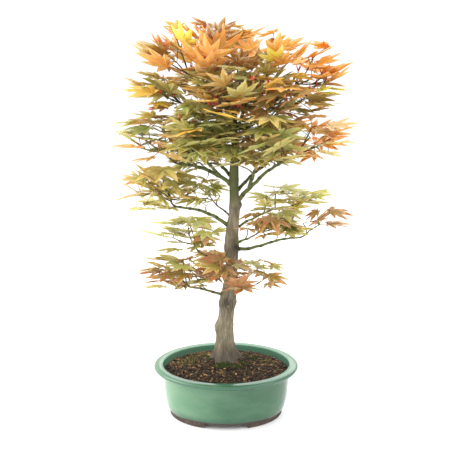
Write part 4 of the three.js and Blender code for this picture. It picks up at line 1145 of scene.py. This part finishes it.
stems = []
for index, name in enumerate(mass_names):
    grows_from, *_, half, _, _, slope, _ = MASSES[name]
    if isinstance(grows_from, str):
        way = way_at(bough_lines[grows_from], 1)
        start = along(bough_lines[grows_from], 1) + way * SEAT_GAP
        *_, (_, radius), _ = BOUGHS[grows_from]
    else:
        start = trunk_at(grows_from)[0]
        way = (centres[index] - start) / np.linalg.norm(centres[index] - start)
        radius = STEM_RADIUS
    low = centres[index] + UP * tip_height(slope, 0.5) * half[2]
    hub = start + (low - start) * GROWTH["hub"]
    stem = (start, start + way * np.linalg.norm(hub - start) * 0.5, hub)
    stems.append((stem, radius))
    for i in range(3):
        stretches.append((along(stem, i / 3), along(stem, (i + 1) / 3), radius, index))
stretch_a, stretch_b = (np.array([s[k] for s in stretches]) for k in (0, 1))
stretch_r, stretch_owner = (np.array([s[k] for s in stretches]) for k in (2, 3))


def clear(owner, starts, ends, wide):
    """Whether straight stretches of these widths keep clear of every limb but their own stem."""
    starts, ends = np.atleast_2d(starts), np.atleast_2d(ends)
    others = (stretch_owner != owner) & (np.linalg.norm(stretch_a - starts[0], axis=1) < NEAR_LIMB)
    apart = gaps(starts[:, None], ends[:, None], stretch_a[others], stretch_b[others])
    return bool((apart > stretch_r[others] + np.atleast_1d(wide)[:, None]).all())


TRIED = np.array([  # angle and reach of the places at which a blade is tried
    (side, reach * share)
    for i, (angle, reach) in enumerate(OUTLINE[:-1])
    for side in ([0] if angle == 0 else [angle, -angle])
    for share in ((0.4, 0.7, 1) if i % 2 == 0 else (1,))
])
LOBE_TIPS = np.array([(0, 1), (41, 0.88), (-41, 0.88), (92, 0.58), (-92, 0.58)])
MOST_LEAVES = 3000


def unit(vectors):
    return vectors / np.linalg.norm(vectors, axis=-1, keepdims=True)


def cross(a, b):
    (ax, ay, az), (bx, by, bz) = np.moveaxis(a, -1, 0), np.moveaxis(b, -1, 0)
    return np.stack([ay * bz - az * by, az * bx - ax * bz, ax * by - ay * bx], axis=-1)


def blade_points(blade, size, hang, places):
    """Places of a blade, or of several, whose lobes hang at their tips or, in a cup, stand up."""
    root, way, across, up = (blade[..., i, :][..., None, :] for i in range(4))
    angle, reach = np.radians(places[:, :1]), places[:, 1:]
    flat = way * np.cos(angle) + across * np.sin(angle)
    return root + np.asarray(size)[..., None, None] * (reach * flat - hang * reach**2 * up)


def pierced(points, blade, size, hang, apart, margin):
    """For each blade, whether points lie in it, or some lie over it and others under it."""
    off = (points - blade[..., :1, :]) @ np.swapaxes(blade[..., 1:, :], -1, -2)
    ahead, aside, above = off[..., 0], off[..., 1], off[..., 2]
    size, hang = np.asarray(size)[..., None], np.asarray(hang)[..., None]
    reach = np.hypot(ahead, aside) / size
    angle = np.degrees(np.abs(np.arctan2(aside, ahead)))
    inside = reach <= np.interp(angle, *zip(*OUTLINE)) + margin
    over = above + size * hang * reach**2
    near = (inside & (np.abs(over) < apart)).any(-1)
    return near | ((inside & (over > 0)).any(-1) & (inside & (over < 0)).any(-1))


class Foliage:
    """Every twig and leaf so far, and the rule that keeps leaves clear of what has grown."""

    def __init__(self):
        self.twigs = []  # foot, bend, tip, radius, and the mass or None
        self.leaves = []  # a dict each
        self.blades = np.empty((MOST_LEAVES, 4, 3))
        self.sizes, self.hangs = np.empty(MOST_LEAVES), np.empty(MOST_LEAVES)
        self.trials = np.empty((MOST_LEAVES, len(TRIED) + 2, 3))
        self.wood = np.array([[along(stem, i / 6) for i in range(7)] for stem, _ in stems])

    def add_twig(self, foot, bend, tip, radius, mass):
        self.twigs.append((foot, bend, tip, radius, mass))
        line = np.array([along((foot, bend, tip), i / 6) for i in range(7)])
        self.wood = np.concatenate([self.wood, line[None]])

    def suits(self, owner, tip, blade, size, hang, trials, rule):
        """Whether one blade is clear of the leaves, the wood and the limbs."""
        room = (rule["apart"], rule["margin"])
        blades, sizes = self.blades[: len(self.leaves)], self.sizes[: len(self.leaves)]
        middles = blades[:, 0] + blades[:, 1] * sizes[:, None] * BLADE["middle"]
        off = middles - (blade[0] + blade[1] * size * BLADE["middle"])
        near = np.flatnonzero((off * off).sum(axis=1) < ((sizes + size) * BLADE["reach"]) ** 2)
        if len(near) and (
            pierced(self.trials[near], blade, size, hang, *room).any()
            or pierced(trials, self.blades[near], self.sizes[near], self.hangs[near], *room).any()
        ):
            return False
        off = self.wood[:, 3] - blade[0]
        wood = self.wood[(off * off).sum(axis=1) < NEAR_WOOD**2]
        if len(wood) and pierced(wood, blade, size, hang, *room).any():
            return False
        ends = blade_points(blade, size, hang, LOBE_TIPS)
        middles = blade_points(blade, size, hang, LOBE_TIPS * (1, 0.5))
        roots = np.repeat(blade[:1], len(ends), axis=0)
        lobe_widths = [size * BLADE["lobe_foot"]] * len(ends) + [size * BLADE["lobe_tip"]] * len(ends)
        starts = np.concatenate([tip[None], roots, middles])
        stops = np.concatenate([blade[:1], middles, ends])
        wide = np.array([TWIG["stalk"]] + lobe_widths) + GROWTH["clearance"]
        return clear(owner, starts, stops, wide)

    def grow_leaf(self, draw, bud, facing, pair, leaf_size, slope, rule, tries, inside, owner):
        """Tries leaves on a bud until one has room, or tries run out. Blades hang outwards low in the
        crown, and stand up and outwards at its top."""
        hang = HANG + CUPPED * max(0, slope)
        erect = max(0, slope)
        free = 1 + erect / GROWTH["free"]
        for first in range(0, tries, GROWTH["tries_at_once"]):
            attempts = np.arange(first, min(first + GROWTH["tries_at_once"], tries))
            shares, states = [], []
            for _ in attempts:
                shares.append([draw(0, 1) for _ in range(6)])
                states.append(draw.state)
            stray, stalk, size, rise, tilt, lean = np.array(shares).T
            loose = 1 + attempts / 2
            turn = np.minimum(GROWTH["stray"][0] * loose, GROWTH["stray"][1]) * (2 * stray - 1)
            turn = np.radians(facing + turn)
            stalk = rule["stalk"][0] + (rule["stalk"][1] - rule["stalk"][0]) * stalk
            size = rule["sizes"][0] + (rule["sizes"][1] - rule["sizes"][0]) * size
            size = leaf_size * size * (1 - attempts * GROWTH["shrink"])
            rise = GROWTH["stalk_stray"] * (2 * rise - 1) * loose
            rise = np.radians(GROWTH["stalk_slopes"][pair] + erect * GROWTH["stalk_rises"] + rise)
            level = np.stack([np.cos(turn), np.sin(turn), 0 * turn], axis=-1)
            root = bud + (level * np.cos(rise)[:, None] + UP * np.sin(rise)[:, None]) * stalk[:, None]
            away = unit((root - (*AXIS, 0)) * (1, 1, 0))
            flat = unit(level + away * (GROWTH["outward"] + erect / GROWTH["free"]))
            standing = GROWTH["standing"] * np.maximum(0, tilt - GROWTH["standing_from"])
            standing = standing * (slope < GROWTH["flat_under"])
            tilt = np.tan(np.radians(slope + GROWTH["tilt"] * free * (2 * tilt - 1) + standing))[:, None]
            lean = np.tan(np.radians(GROWTH["lean"] * free * (2 * lean - 1)))[:, None]
            up = unit(UP - away * tilt + cross(np.broadcast_to(UP, away.shape), away) * lean)
            across = unit(cross(up, flat))
            blades = np.stack([root, cross(across, up), across, up], axis=1)
            stalks = bud + (root - bud)[:, None] * np.array([0.5, 0.8])[:, None]
            trials = np.concatenate([blade_points(blades, size, hang, TRIED), stalks], axis=1)
            for k in np.flatnonzero(inside(trials).all(axis=1)):
                if self.suits(owner, bud, blades[k], size[k], hang, trials[k], rule):
                    count = len(self.leaves)
                    self.blades[count], self.trials[count] = blades[k], trials[k]
                    self.sizes[count], self.hangs[count] = size[k], hang
                    self.leaves.append({"bud": bud, "blade": blades[k], "size": size[k], "hang": hang})
                    draw.state = states[k]
                    return True
        return False

    def grow_spray(self, draw, twig, count, leaf_size, slope, rule, tries, inside, owner):
        """Leaves round the bud at a twig's tip: one ahead, one back and one on either side."""
        back = twig[1] - twig[2]
        facing = math.degrees(math.atan2(back[1], back[0]))
        before = len(self.leaves)
        for k in range(count):
            azimuth = facing + 360 / count * k
            self.grow_leaf(draw, twig[2], azimuth, k % 2, leaf_size, slope, rule, tries, inside, owner)
        for leaf in self.leaves[before:]:
            leaf["spray"], leaf["mass"] = before, owner
        return len(self.leaves) - before


crown = Foliage()
streams = []
for index, name in enumerate(mass_names):
    *_, half, twig_count, leaf_size, slope, _ = MASSES[name]
    draw = Draws(index + 1)
    streams.append(draw)
    phase, new_twigs = draw(0, 2 * math.pi), []
    for i in range(twig_count):
        for attempt in range(GROWTH["twig_tries"]):
            turn = phase + i * GOLDEN_ANGLE + draw(-1, 1) * attempt / 4
            reach = GROWTH["spread"] * math.sqrt((i + 0.4) / twig_count) * draw(0.9, 1.1)
            share = (0.37 + i * GOLDEN_SHARE + draw(0, 0.1) * attempt) % 1
            height = tip_height(slope, share) - GROWTH["dome"] * reach * reach
            tip = (
                centres[index]
                + ways[index][0] * half[0] * (reach * math.cos(turn) - GROWTH["inward"])
                + ways[index][1] * half[1] * reach * math.sin(turn)
                + UP * half[2] * height
            )
            foot = along(stems[index][0], GROWTH["feet"][0] + GROWTH["feet"][1] * (i + 1) / twig_count)
            bend = (foot + tip) / 2
            bend[2] -= draw(*GROWTH["sag"]) * np.linalg.norm(tip - foot)
            if owned(index, tip) and clear(index, foot, tip, 1 + GROWTH["clearance"]):
                new_twigs.append((foot, bend, tip))
                break
    for twig in new_twigs:
        crown.add_twig(*twig, TWIG["radius"], index)
    for twig in new_twigs:
        crown.grow_spray(
            draw, twig, GROWTH["leaves_at_tip"], leaf_size, slope, GROWTH, GROWTH["tries"],
            functools.partial(owned, index), index,
        )


def side_twig(draw, parent, t, slope, long):
    """A twig that leaves its parent to one side and bends upwards."""
    foot, ahead = along(parent, t), way_at(parent, t)
    side = 1 if draw(-1, 1) > 0 else -1
    turn = math.degrees(math.atan2(ahead[1], ahead[0])) + side * draw(*FINER["turns"])
    long = draw(*long)
    tip = foot + heading(turn, draw(*FINER["slopes"]) + max(0, slope) * 0.5) * long
    return foot, foot + ahead * long * FINER["ahead"] + (tip - foot) * FINER["aside"], tip


def within_reach(index, points):
    return depths(points)[..., index] <= FINER["reach"]


# The finer twigs of every mass, in the space that its own leaves leave free.
for index, name in enumerate(mass_names):
    *_, leaf_size, slope, side_count = MASSES[name]
    draw = streams[index]
    parents = [twig[:3] for twig in crown.twigs if twig[4] == index] + [stems[index][0]]
    inside = functools.partial(within_reach, index)
    made = 0
    for attempt in range(side_count * FINER["tries_each"]):
        parent = parents[int(draw(0, len(parents) - 0.001))]
        twig = side_twig(draw, parent, draw(*FINER["foot"]), slope, FINER["long"])
        free = clear(index, twig[0], twig[2], FINER["clearance"])
        if depths(twig[2])[index] <= FINER["within"] and free and crown.grow_spray(
            draw, twig, FINER["leaves"], leaf_size, slope, FINER, FINER["tries"], inside, index
        ):
            crown.add_twig(*twig, TWIG["radius"] * FINER["radius"], index)
            made += 1
            if made == side_count:
                break


def grow_shoot(draw, twig, leaves):
    """Leaves on a shoot that belongs to no mass, more erect the higher it is. Returns how many."""
    slope = float(np.interp(twig[2][2], SHOOTS["erect"], SHOOTS["slopes"]))
    return crown.grow_spray(
        draw, twig, leaves, SHOOTS["leaf"], slope, FINER, FINER["tries"], in_crown, None
    )


# Shoots straight from the boughs and, high up, from the trunk, which close the crown's middle.
draw = Draws(91)
sites = [name for name in BOUGHS for _ in range(BOUGH_SHOOTS.get(name, BOUGH_SHOOTS_ELSE))]
for name in sites:
    for attempt in range(SHOOTS["tries"]):
        t = draw(*SHOOTS["foot"])
        twig = side_twig(draw, bough_lines[name], t, SHOOTS["rise"], SHOOTS["long"])
        free = clear(-1, twig[0], twig[2], FINER["clearance"])
        if free and in_crown(twig[2]) and grow_shoot(draw, twig, SHOOTS["leaves"]):
            crown.add_twig(*twig, TWIG["radius"] * SHOOTS["radius"], None)
            break
for z, azimuth in TRUNK_SHOOTS:
    for attempt in range(TRUNK_SHOOT["tries"]):
        centre, radius = trunk_at(z)
        facing = azimuth + draw(-TRUNK_SHOOT["stray"], TRUNK_SHOOT["stray"])
        long = draw(*TRUNK_SHOOT["long"])
        foot = centre + heading(facing, 0) * radius * 0.6
        tip = foot + heading(facing, draw(*TRUNK_SHOOT["slopes"])) * long
        bend = (foot + tip) / 2 - UP * TRUNK_SHOOT["sag"] * long
        if in_crown(tip) and grow_shoot(draw, (foot, bend, tip), TRUNK_SHOOT["leaves"]):
            crown.add_twig(foot, bend, tip, TWIG["radius"], None)
            break


# Wood of the foliage. Stems, twigs and side twigs, green-brown and two or three millimetres thick,
# that grow on from the ends and sides of the boughs, with a dark node wherever leaves have stood.
WOOD_RINGS = 9
WOOD_SIDES = 6
WOOD = {"sunk": 1.5, "stem_taper": 0.75, "twig_taper": 0.7, "bow": 0.03, "node_height": 0.22}
WOOD_TONES = [(112, 112, 58), (98, 90, 50), (134, 116, 72), (58, 44, 34)]  # the last is the nodes'
WOOD_SHARES = [3, 3, 2]
DARK_NODE = len(WOOD_TONES) - 1
limbs = []  # line, radius at its foot and at its tip
for stem, radius in stems:
    in_bough = stem[0] - WOOD["sunk"] * way_at(stem, 0)
    limbs.append(((in_bough, *stem[1:]), radius + 0.1, radius * WOOD["stem_taper"]))
for foot, bend, tip, radius, _ in crown.twigs:
    limbs.append(((foot, bend, tip), radius, radius * WOOD["twig_taper"]))

draw = Draws(402)
lines, radii, picks = [], [], []
t = np.linspace(0, 1, WOOD_RINGS)[:, None]
for line, first, last in limbs:
    long = np.linalg.norm(line[-1] - line[0])
    bow = np.sin(np.pi * t) * np.array([draw(-1, 1) for _ in range(3)]) * WOOD["bow"] * long
    radius = first + (last - first) * t[:, 0]
    radius[3::3] += WOOD["node_height"]
    lines.append(along(line, t) + bow)
    radii.append(radius)
    rings = [pick(draw, WOOD_SHARES)] * (WOOD_RINGS - 1)
    rings[2::3] = [DARK_NODE] * len(rings[2::3])
    picks.append(rings)
points, walls, ends = tubes(lines, np.array(radii), WOOD_SIDES)
face_picks = np.repeat(np.array(picks).ravel(), WOOD_SIDES).tolist() + [DARK_NODE] * len(ends)
twigs = mesh_piece("twigs", points, walls + ends, plains("twig", WOOD_TONES, 0.75), face_picks)
for polygon in twigs.data.polygons:
    polygon.use_smooth = len(polygon.vertices) == 4
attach(twigs, "root")


# Young leaves. Small red leaves that have just come out of the buds high in the crown. They stand
# three together and are still rolled up.
YOUNG = {"from": 430, "share": 0.75, "together": 3, "length": (5, 11), "spread": 0.7}
YOUNG_STEPS = {0: 0.45, 0.35: 0.95, 0.7: 0.7, 1: 0.1}  # places along it and its radius there
YOUNG_TONES = [(206, 62, 48), (220, 96, 66), (180, 78, 84)]
YOUNG_SHARES = [3, 2, 1]
draw = Draws(405)
lines, picks = [], []
for foot, bend, tip, _, _ in crown.twigs:
    if tip[2] > YOUNG["from"] and draw(0, 1) < YOUNG["share"]:
        for _ in range(YOUNG["together"]):
            aside = [draw(-YOUNG["spread"], YOUNG["spread"]) for _ in range(2)]
            way = unit(unit(tip - bend) * 0.5 + UP + (*aside, 0))
            long = draw(*YOUNG["length"])
            lines.append([tip + way * long * step for step in YOUNG_STEPS])
            picks.append(pick(draw, YOUNG_SHARES))
points, walls, ends = tubes(lines, list(YOUNG_STEPS.values()), 4)
young_tones = plains("young_leaf", YOUNG_TONES, 0.5)
young = mesh_piece("young_leaves", points, walls + ends, young_tones, tone_picks(picks, walls, ends))
shade_smooth(young)
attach(young, "root")


# Leaf stalks. Fine wiry rods, green to red and redder towards the top, each grown from a bud in a
# slight arch to the blade that it carries.
STALK = {"arch": (0.02, 0.16), "into_blade": 0.03, "redder_from": 490}
STALK_RADII = [0.62, 0.5, 0.46, 0.44, 0.46, 0.6]
STALK_TONES = [(150, 120, 62), (170, 92, 62), (128, 128, 58), (186, 70, 60)]
STALK_SHARES = {"high": [3, 3, 3, 1], "low": [3, 1.5, 4, 0.5]}
draw = Draws(403)
lines, picks = [], []
t = np.linspace(0, 1, len(STALK_RADII))[:, None]
for leaf in crown.leaves:
    root, way, _, _ = leaf["blade"]
    arch = (leaf["bud"] + root) / 2 + UP * np.linalg.norm(root - leaf["bud"]) * draw(*STALK["arch"])
    in_blade = root + way * leaf["size"] * STALK["into_blade"]
    lines.append(along((leaf["bud"], arch, in_blade), t))
    picks.append(pick(draw, STALK_SHARES["high" if root[2] > STALK["redder_from"] else "low"]))
points, walls, ends = tubes(lines, STALK_RADII, 4)
stalk_tones = plains("stalk", STALK_TONES, 0.55)
stalks = mesh_piece("leaf_stalks", points, walls + ends, stalk_tones, tone_picks(picks, walls, ends))
shade_smooth(stalks)
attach(stalks, "root")


# Leaves. Thin blades with seven lance-shaped lobes, each folded a little along its rib. Low in the
# crown the lobes hang at their tips, and at its top they stand in a cup. The heart of a blade has
# one autumn colour, its lobes another and its back a duller one.
SIDE_LOBES = [(112, 0.36), (75, 0.70), (38, 0.93)]  # angle from the middle lobe, reach
SIDE_NOTCHES = [(165, 0.06), (95, 0.22), (57, 0.31), (19.5, 0.36)]
LOBES = SIDE_LOBES + [(0, 1.0)] + [(-angle, reach) for angle, reach in reversed(SIDE_LOBES)]
NOTCHES = SIDE_NOTCHES + [(-angle, reach) for angle, reach in reversed(SIDE_NOTCHES)]
LOBE_SIDES = [(0.51, 0.155), (0.78, 0.075)]  # share of a lobe's length, and half its width there
SMALL_LOBE = {"under": 0.5, "wider": 1.25}  # such a lobe has only the first of these, and wider
FOLD = {"notch": 0.05, "sides": (0.05, 0.03), "tip": -0.01, "thick": 0.35}
HEART = {"reach": 0.02, "lobe": LOBES.index((0, 1.0))}


def blade():
    """One leaf's points as (angle, reach, fold, face, lobe, axis), and its faces as (corners, zone)."""
    points, faces = [], []

    def add(*point):
        points.append(point)
        return len(points) - 1

    hearts = [add(0, HEART["reach"], 0, face, HEART["lobe"], 0) for face in (1, -1)]
    notches = [add(angle, reach, FOLD["notch"], 0, HEART["lobe"], angle) for angle, reach in NOTCHES]
    for lobe, (angle, long) in enumerate(LOBES):
        large = long > SMALL_LOBE["under"]
        wider = 1 if large else SMALL_LOBE["wider"]
        tip = add(angle, long, FOLD["tip"], 0, lobe, angle)
        ribs = [add(angle, long * LOBE_SIDES[0][0], 0, face, lobe, angle) for face in (1, -1)]
        for side, notch in ((1, notches[lobe]), (-1, notches[lobe + 1])):
            edge = []
            for (share, wide), fold in zip(LOBE_SIDES if large else LOBE_SIDES[:1], FOLD["sides"]):
                ahead, aside = long * share, side * wide * long * wider
                off = math.degrees(math.atan2(aside, ahead))
                edge.append(add(angle + off, math.hypot(ahead, aside), fold, 0, lobe, angle))
            inner, outer = [notch, edge[0]], [*edge, tip]
            for under, (heart, rib) in enumerate(zip(hearts, ribs)):
                for corners, zone in (([heart, *inner, rib], 0), ([rib, *outer], 1)):
                    flip = (side > 0) != bool(under)
                    faces.append((corners[::-1] if flip else corners, 2 if under else zone))
    return np.array(points), faces


BLADE_POINTS, BLADE_FACES = blade()

TONES = {  # screen values: the lobes' colour and the heart's
    "orange": ((230, 134, 50), (219, 158, 56)),
    "bright_orange": ((240, 152, 68), (228, 170, 62)),
    "coral": ((222, 112, 70), (224, 140, 72)),
    "golden": ((236, 176, 60), (208, 178, 60)),
    "lemon": ((224, 204, 58), (202, 200, 60)),
    "maroon": ((132, 70, 60), (142, 84, 62)),
    "pink": ((224, 122, 122), (218, 140, 100)),
    "peach": ((232, 162, 106), (216, 176, 102)),
    "straw": ((212, 184, 106), (190, 180, 98)),
    "pale_lime": ((200, 197, 120), (180, 183, 98)),
    "lime": ((172, 166, 86), (152, 156, 74)),
    # olive, green and umber are set lighter than these leaves' own colour: painted light, standing in for
    # light shining through the leaves in the shaded middle of the crown.
    "olive": ((171, 158, 88), (155, 157, 81)),
    # A darker olive, dealt mostly near the trunk: partly the inner leaves' duller colour, partly painted
    # shade inside the crown.
    "dark_olive": ((148, 136, 66), (134, 132, 62)),
    "green": ((154, 158, 84), (140, 156, 78)),
    "umber": ((180, 142, 80), (160, 144, 74)),
    "brown": ((160, 116, 52), (146, 124, 54)),
    "rust": ((163, 110, 60), (148, 122, 58)),
    "brick": ((158, 93, 60), (140, 108, 54)),
    "dark_brick": ((154, 88, 62), (136, 100, 58)),
    "salmon": ((228, 152, 112), (208, 166, 102)),
}
BACK = {"grey": (172, 156, 92), "share": 0.25}  # what dulls the colour of the lobes on the back
DEALS = {  # which colours each tier's sprays are dealt: near the trunk, and at the outer tips
    "top": (
        {"orange": 5, "bright_orange": 4, "golden": 1, "coral": 1.1, "lemon": 1.3, "maroon": 1,
         "umber": 1.6, "rust": 1},
        {"orange": 5, "bright_orange": 4, "golden": 1, "coral": 1.2, "lemon": 0.4},
    ),
    # Near the trunk the upper tier is dealt darker tones, the darker olive and brown: partly painted shade
    # inside the crown.
    "upper": (
        {"brown": 2.2, "dark_olive": 5.3, "golden": 1.2, "orange": 1, "rust": 1.5, "dark_brick": 0.5},
        {"golden": 2.6, "orange": 3.2, "brown": 1, "dark_olive": 2.4, "lemon": 0.4, "pink": 0.25,
         "rust": 1.3},
    ),
    "mid": (
        {"olive": 4, "green": 3, "umber": 3, "rust": 1, "lime": 3},
        {"olive": 2.2, "green": 0.8, "golden": 2.3, "peach": 2.8, "straw": 3.1, "orange": 1,
         "rust": 0.5, "lime": 1.6},
    ),
    "left_mid": (
        {"olive": 3, "lime": 3, "green": 1, "umber": 1, "rust": 0.5},
        {"straw": 2.4, "golden": 1.7, "umber": 1.2, "lime": 1.4, "olive": 0.6, "peach": 1.4},
    ),
    "right_back": (
        {"lime": 3, "pale_lime": 3, "straw": 1.5},
        {"pale_lime": 3, "lime": 2, "salmon": 1, "straw": 1, "rust": 1},
    ),
    "right_front": (
        {"brick": 2, "rust": 3, "brown": 2, "dark_olive": 2},
        {"brick": 2, "rust": 3, "dark_brick": 1, "brown": 1},
    ),
    "second_left": (
        {"lime": 2, "pale_lime": 2.5, "salmon": 1.5},
        {"pale_lime": 4, "salmon": 2.5, "straw": 1},
    ),
    "low": (
        {"brick": 3, "rust": 3, "dark_brick": 1, "olive": 3.5, "umber": 3},
        {"brick": 4, "rust": 3, "umber": 1.5, "pale_lime": 1.5},
    ),
    "low_back": (
        {"lime": 3, "rust": 2, "olive": 1},
        {"pale_lime": 2, "lime": 2, "brick": 2},
    ),
}
DEAL_OF = {  # for a mass that isn't here, the first word of its name is its deal
    "low_left": "low", "low_front": "low", "low_right": "low", "low_back": "low_back",
    "second_left": "second_left", "right_front": "right_front", "right_tip": "right_front",
    "right_back": "right_back", "left_mid": "left_mid", "left_inner": "left_mid",
}
SHOOT_DEALS = {"top": 492, "upper": 438, "mid": 330, "low_back": 0}  # and the height each begins at
OUTER_FROM = 92  # from here out of the axis a spray is at the outer tips
OUTER_STRAY = (0.85, 1.15)
TIERS = {"low": (0, 280), "middle": (280, 430), "top": (430, 1000)}
LEAF = {  # how the leaves differ: their tips' hang, folds, and the spread, length and breadth of lobes
    "hang": (-0.09, 0.12), "folding": (0.4, 1.7), "fanned": (0.9, 1.06), "lengths": (0.9, 1.06),
    "breadth": (0.85, 1.1), "cupped_under": -0.1, "cupped_broader": 0.17, "wave": 0.04,
}

tone_names = list(TONES)
leaf_materials = []
for name, (lobe, heart) in TONES.items():
    back = tuple(c * (1 - BACK["share"]) + grey * BACK["share"] for c, grey in zip(lobe, BACK["grey"]))
    for zone, colour, roughness in (("heart", heart, 0.5), ("lobe", lobe, 0.5), ("back", back, 0.7)):
        leaf_materials.append(plain(f"leaf_{name}_{zone}", colour, roughness, 0.45))


def deal_for(leaf):
    """The colours that a spray is dealt, by its mass, or by its height where it has none."""
    if leaf["mass"] is not None:
        name = mass_names[leaf["mass"]]
        return DEALS[DEAL_OF.get(name, name.split("_")[0])]
    return DEALS[next(deal for deal, height in SHOOT_DEALS.items() if leaf["bud"][2] > height)]


def tier_of(leaf):
    height = leaf["bud"][2] if leaf["mass"] is None else MASSES[mass_names[leaf["mass"]]][3]
    return next(tier for tier, (lowest, highest) in TIERS.items() if lowest < height <= highest)


draw = Draws(434)
shapes = {tier: ([], [], []) for tier in TIERS}
angle, reach, fold, face, lobe, axis = BLADE_POINTS.T
spray, tone = None, 0
for leaf in crown.leaves:
    if leaf["spray"] != spray:
        spray = leaf["spray"]
        out = math.hypot(leaf["bud"][0] - AXIS[0], leaf["bud"][1] - AXIS[1])
        inner, outer = deal_for(leaf)
        deal = outer if out > OUTER_FROM * draw(*OUTER_STRAY) else inner
        tone = tone_names.index(list(deal)[pick(draw, list(deal.values()))])
    hang = leaf["hang"] + draw(*LEAF["hang"])
    folding, fanned = draw(*LEAF["folding"]), draw(*LEAF["fanned"])
    lengths = np.array([draw(*LEAF["lengths"]) for _ in LOBES])
    cupped = leaf["hang"] < LEAF["cupped_under"]
    breadth = draw(*LEAF["breadth"]) + cupped * LEAF["cupped_broader"]
    turn = np.radians((axis + (angle - axis) * breadth) * fanned)
    far = reach * lengths[lobe.astype(int)]
    wave = LEAF["wave"] * np.sin(5 * turn + 40 * fanned) * far
    lift = (fold * folding - hang * far**2 + wave) * leaf["size"] + face * FOLD["thick"] / 2
    root, way, across, up = leaf["blade"]
    flat = np.outer(np.cos(turn), way) + np.outer(np.sin(turn), across)
    points, faces, picks = shapes[tier_of(leaf)]
    faces += [[corner + len(points) for corner in corners] for corners, _ in BLADE_FACES]
    picks += [tone * 3 + zone for _, zone in BLADE_FACES]
    points += (root + flat * (leaf["size"] * far)[:, None] + np.outer(lift, up)).tolist()
for tier, (lowest, highest) in TIERS.items():
    points, faces, picks = shapes[tier]
    leaves = mesh_piece(f"leaves_{tier}_tier", points, faces, leaf_materials, picks)
    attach(leaves, "root")
    of_tier = [name for name in mass_names if lowest < MASSES[name][3] <= highest]
    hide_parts(*("leaves_" + name for name in of_tier))

size = {"cad": [list(corner) for corner in cad_box], "visual": [list(corner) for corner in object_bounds()]}
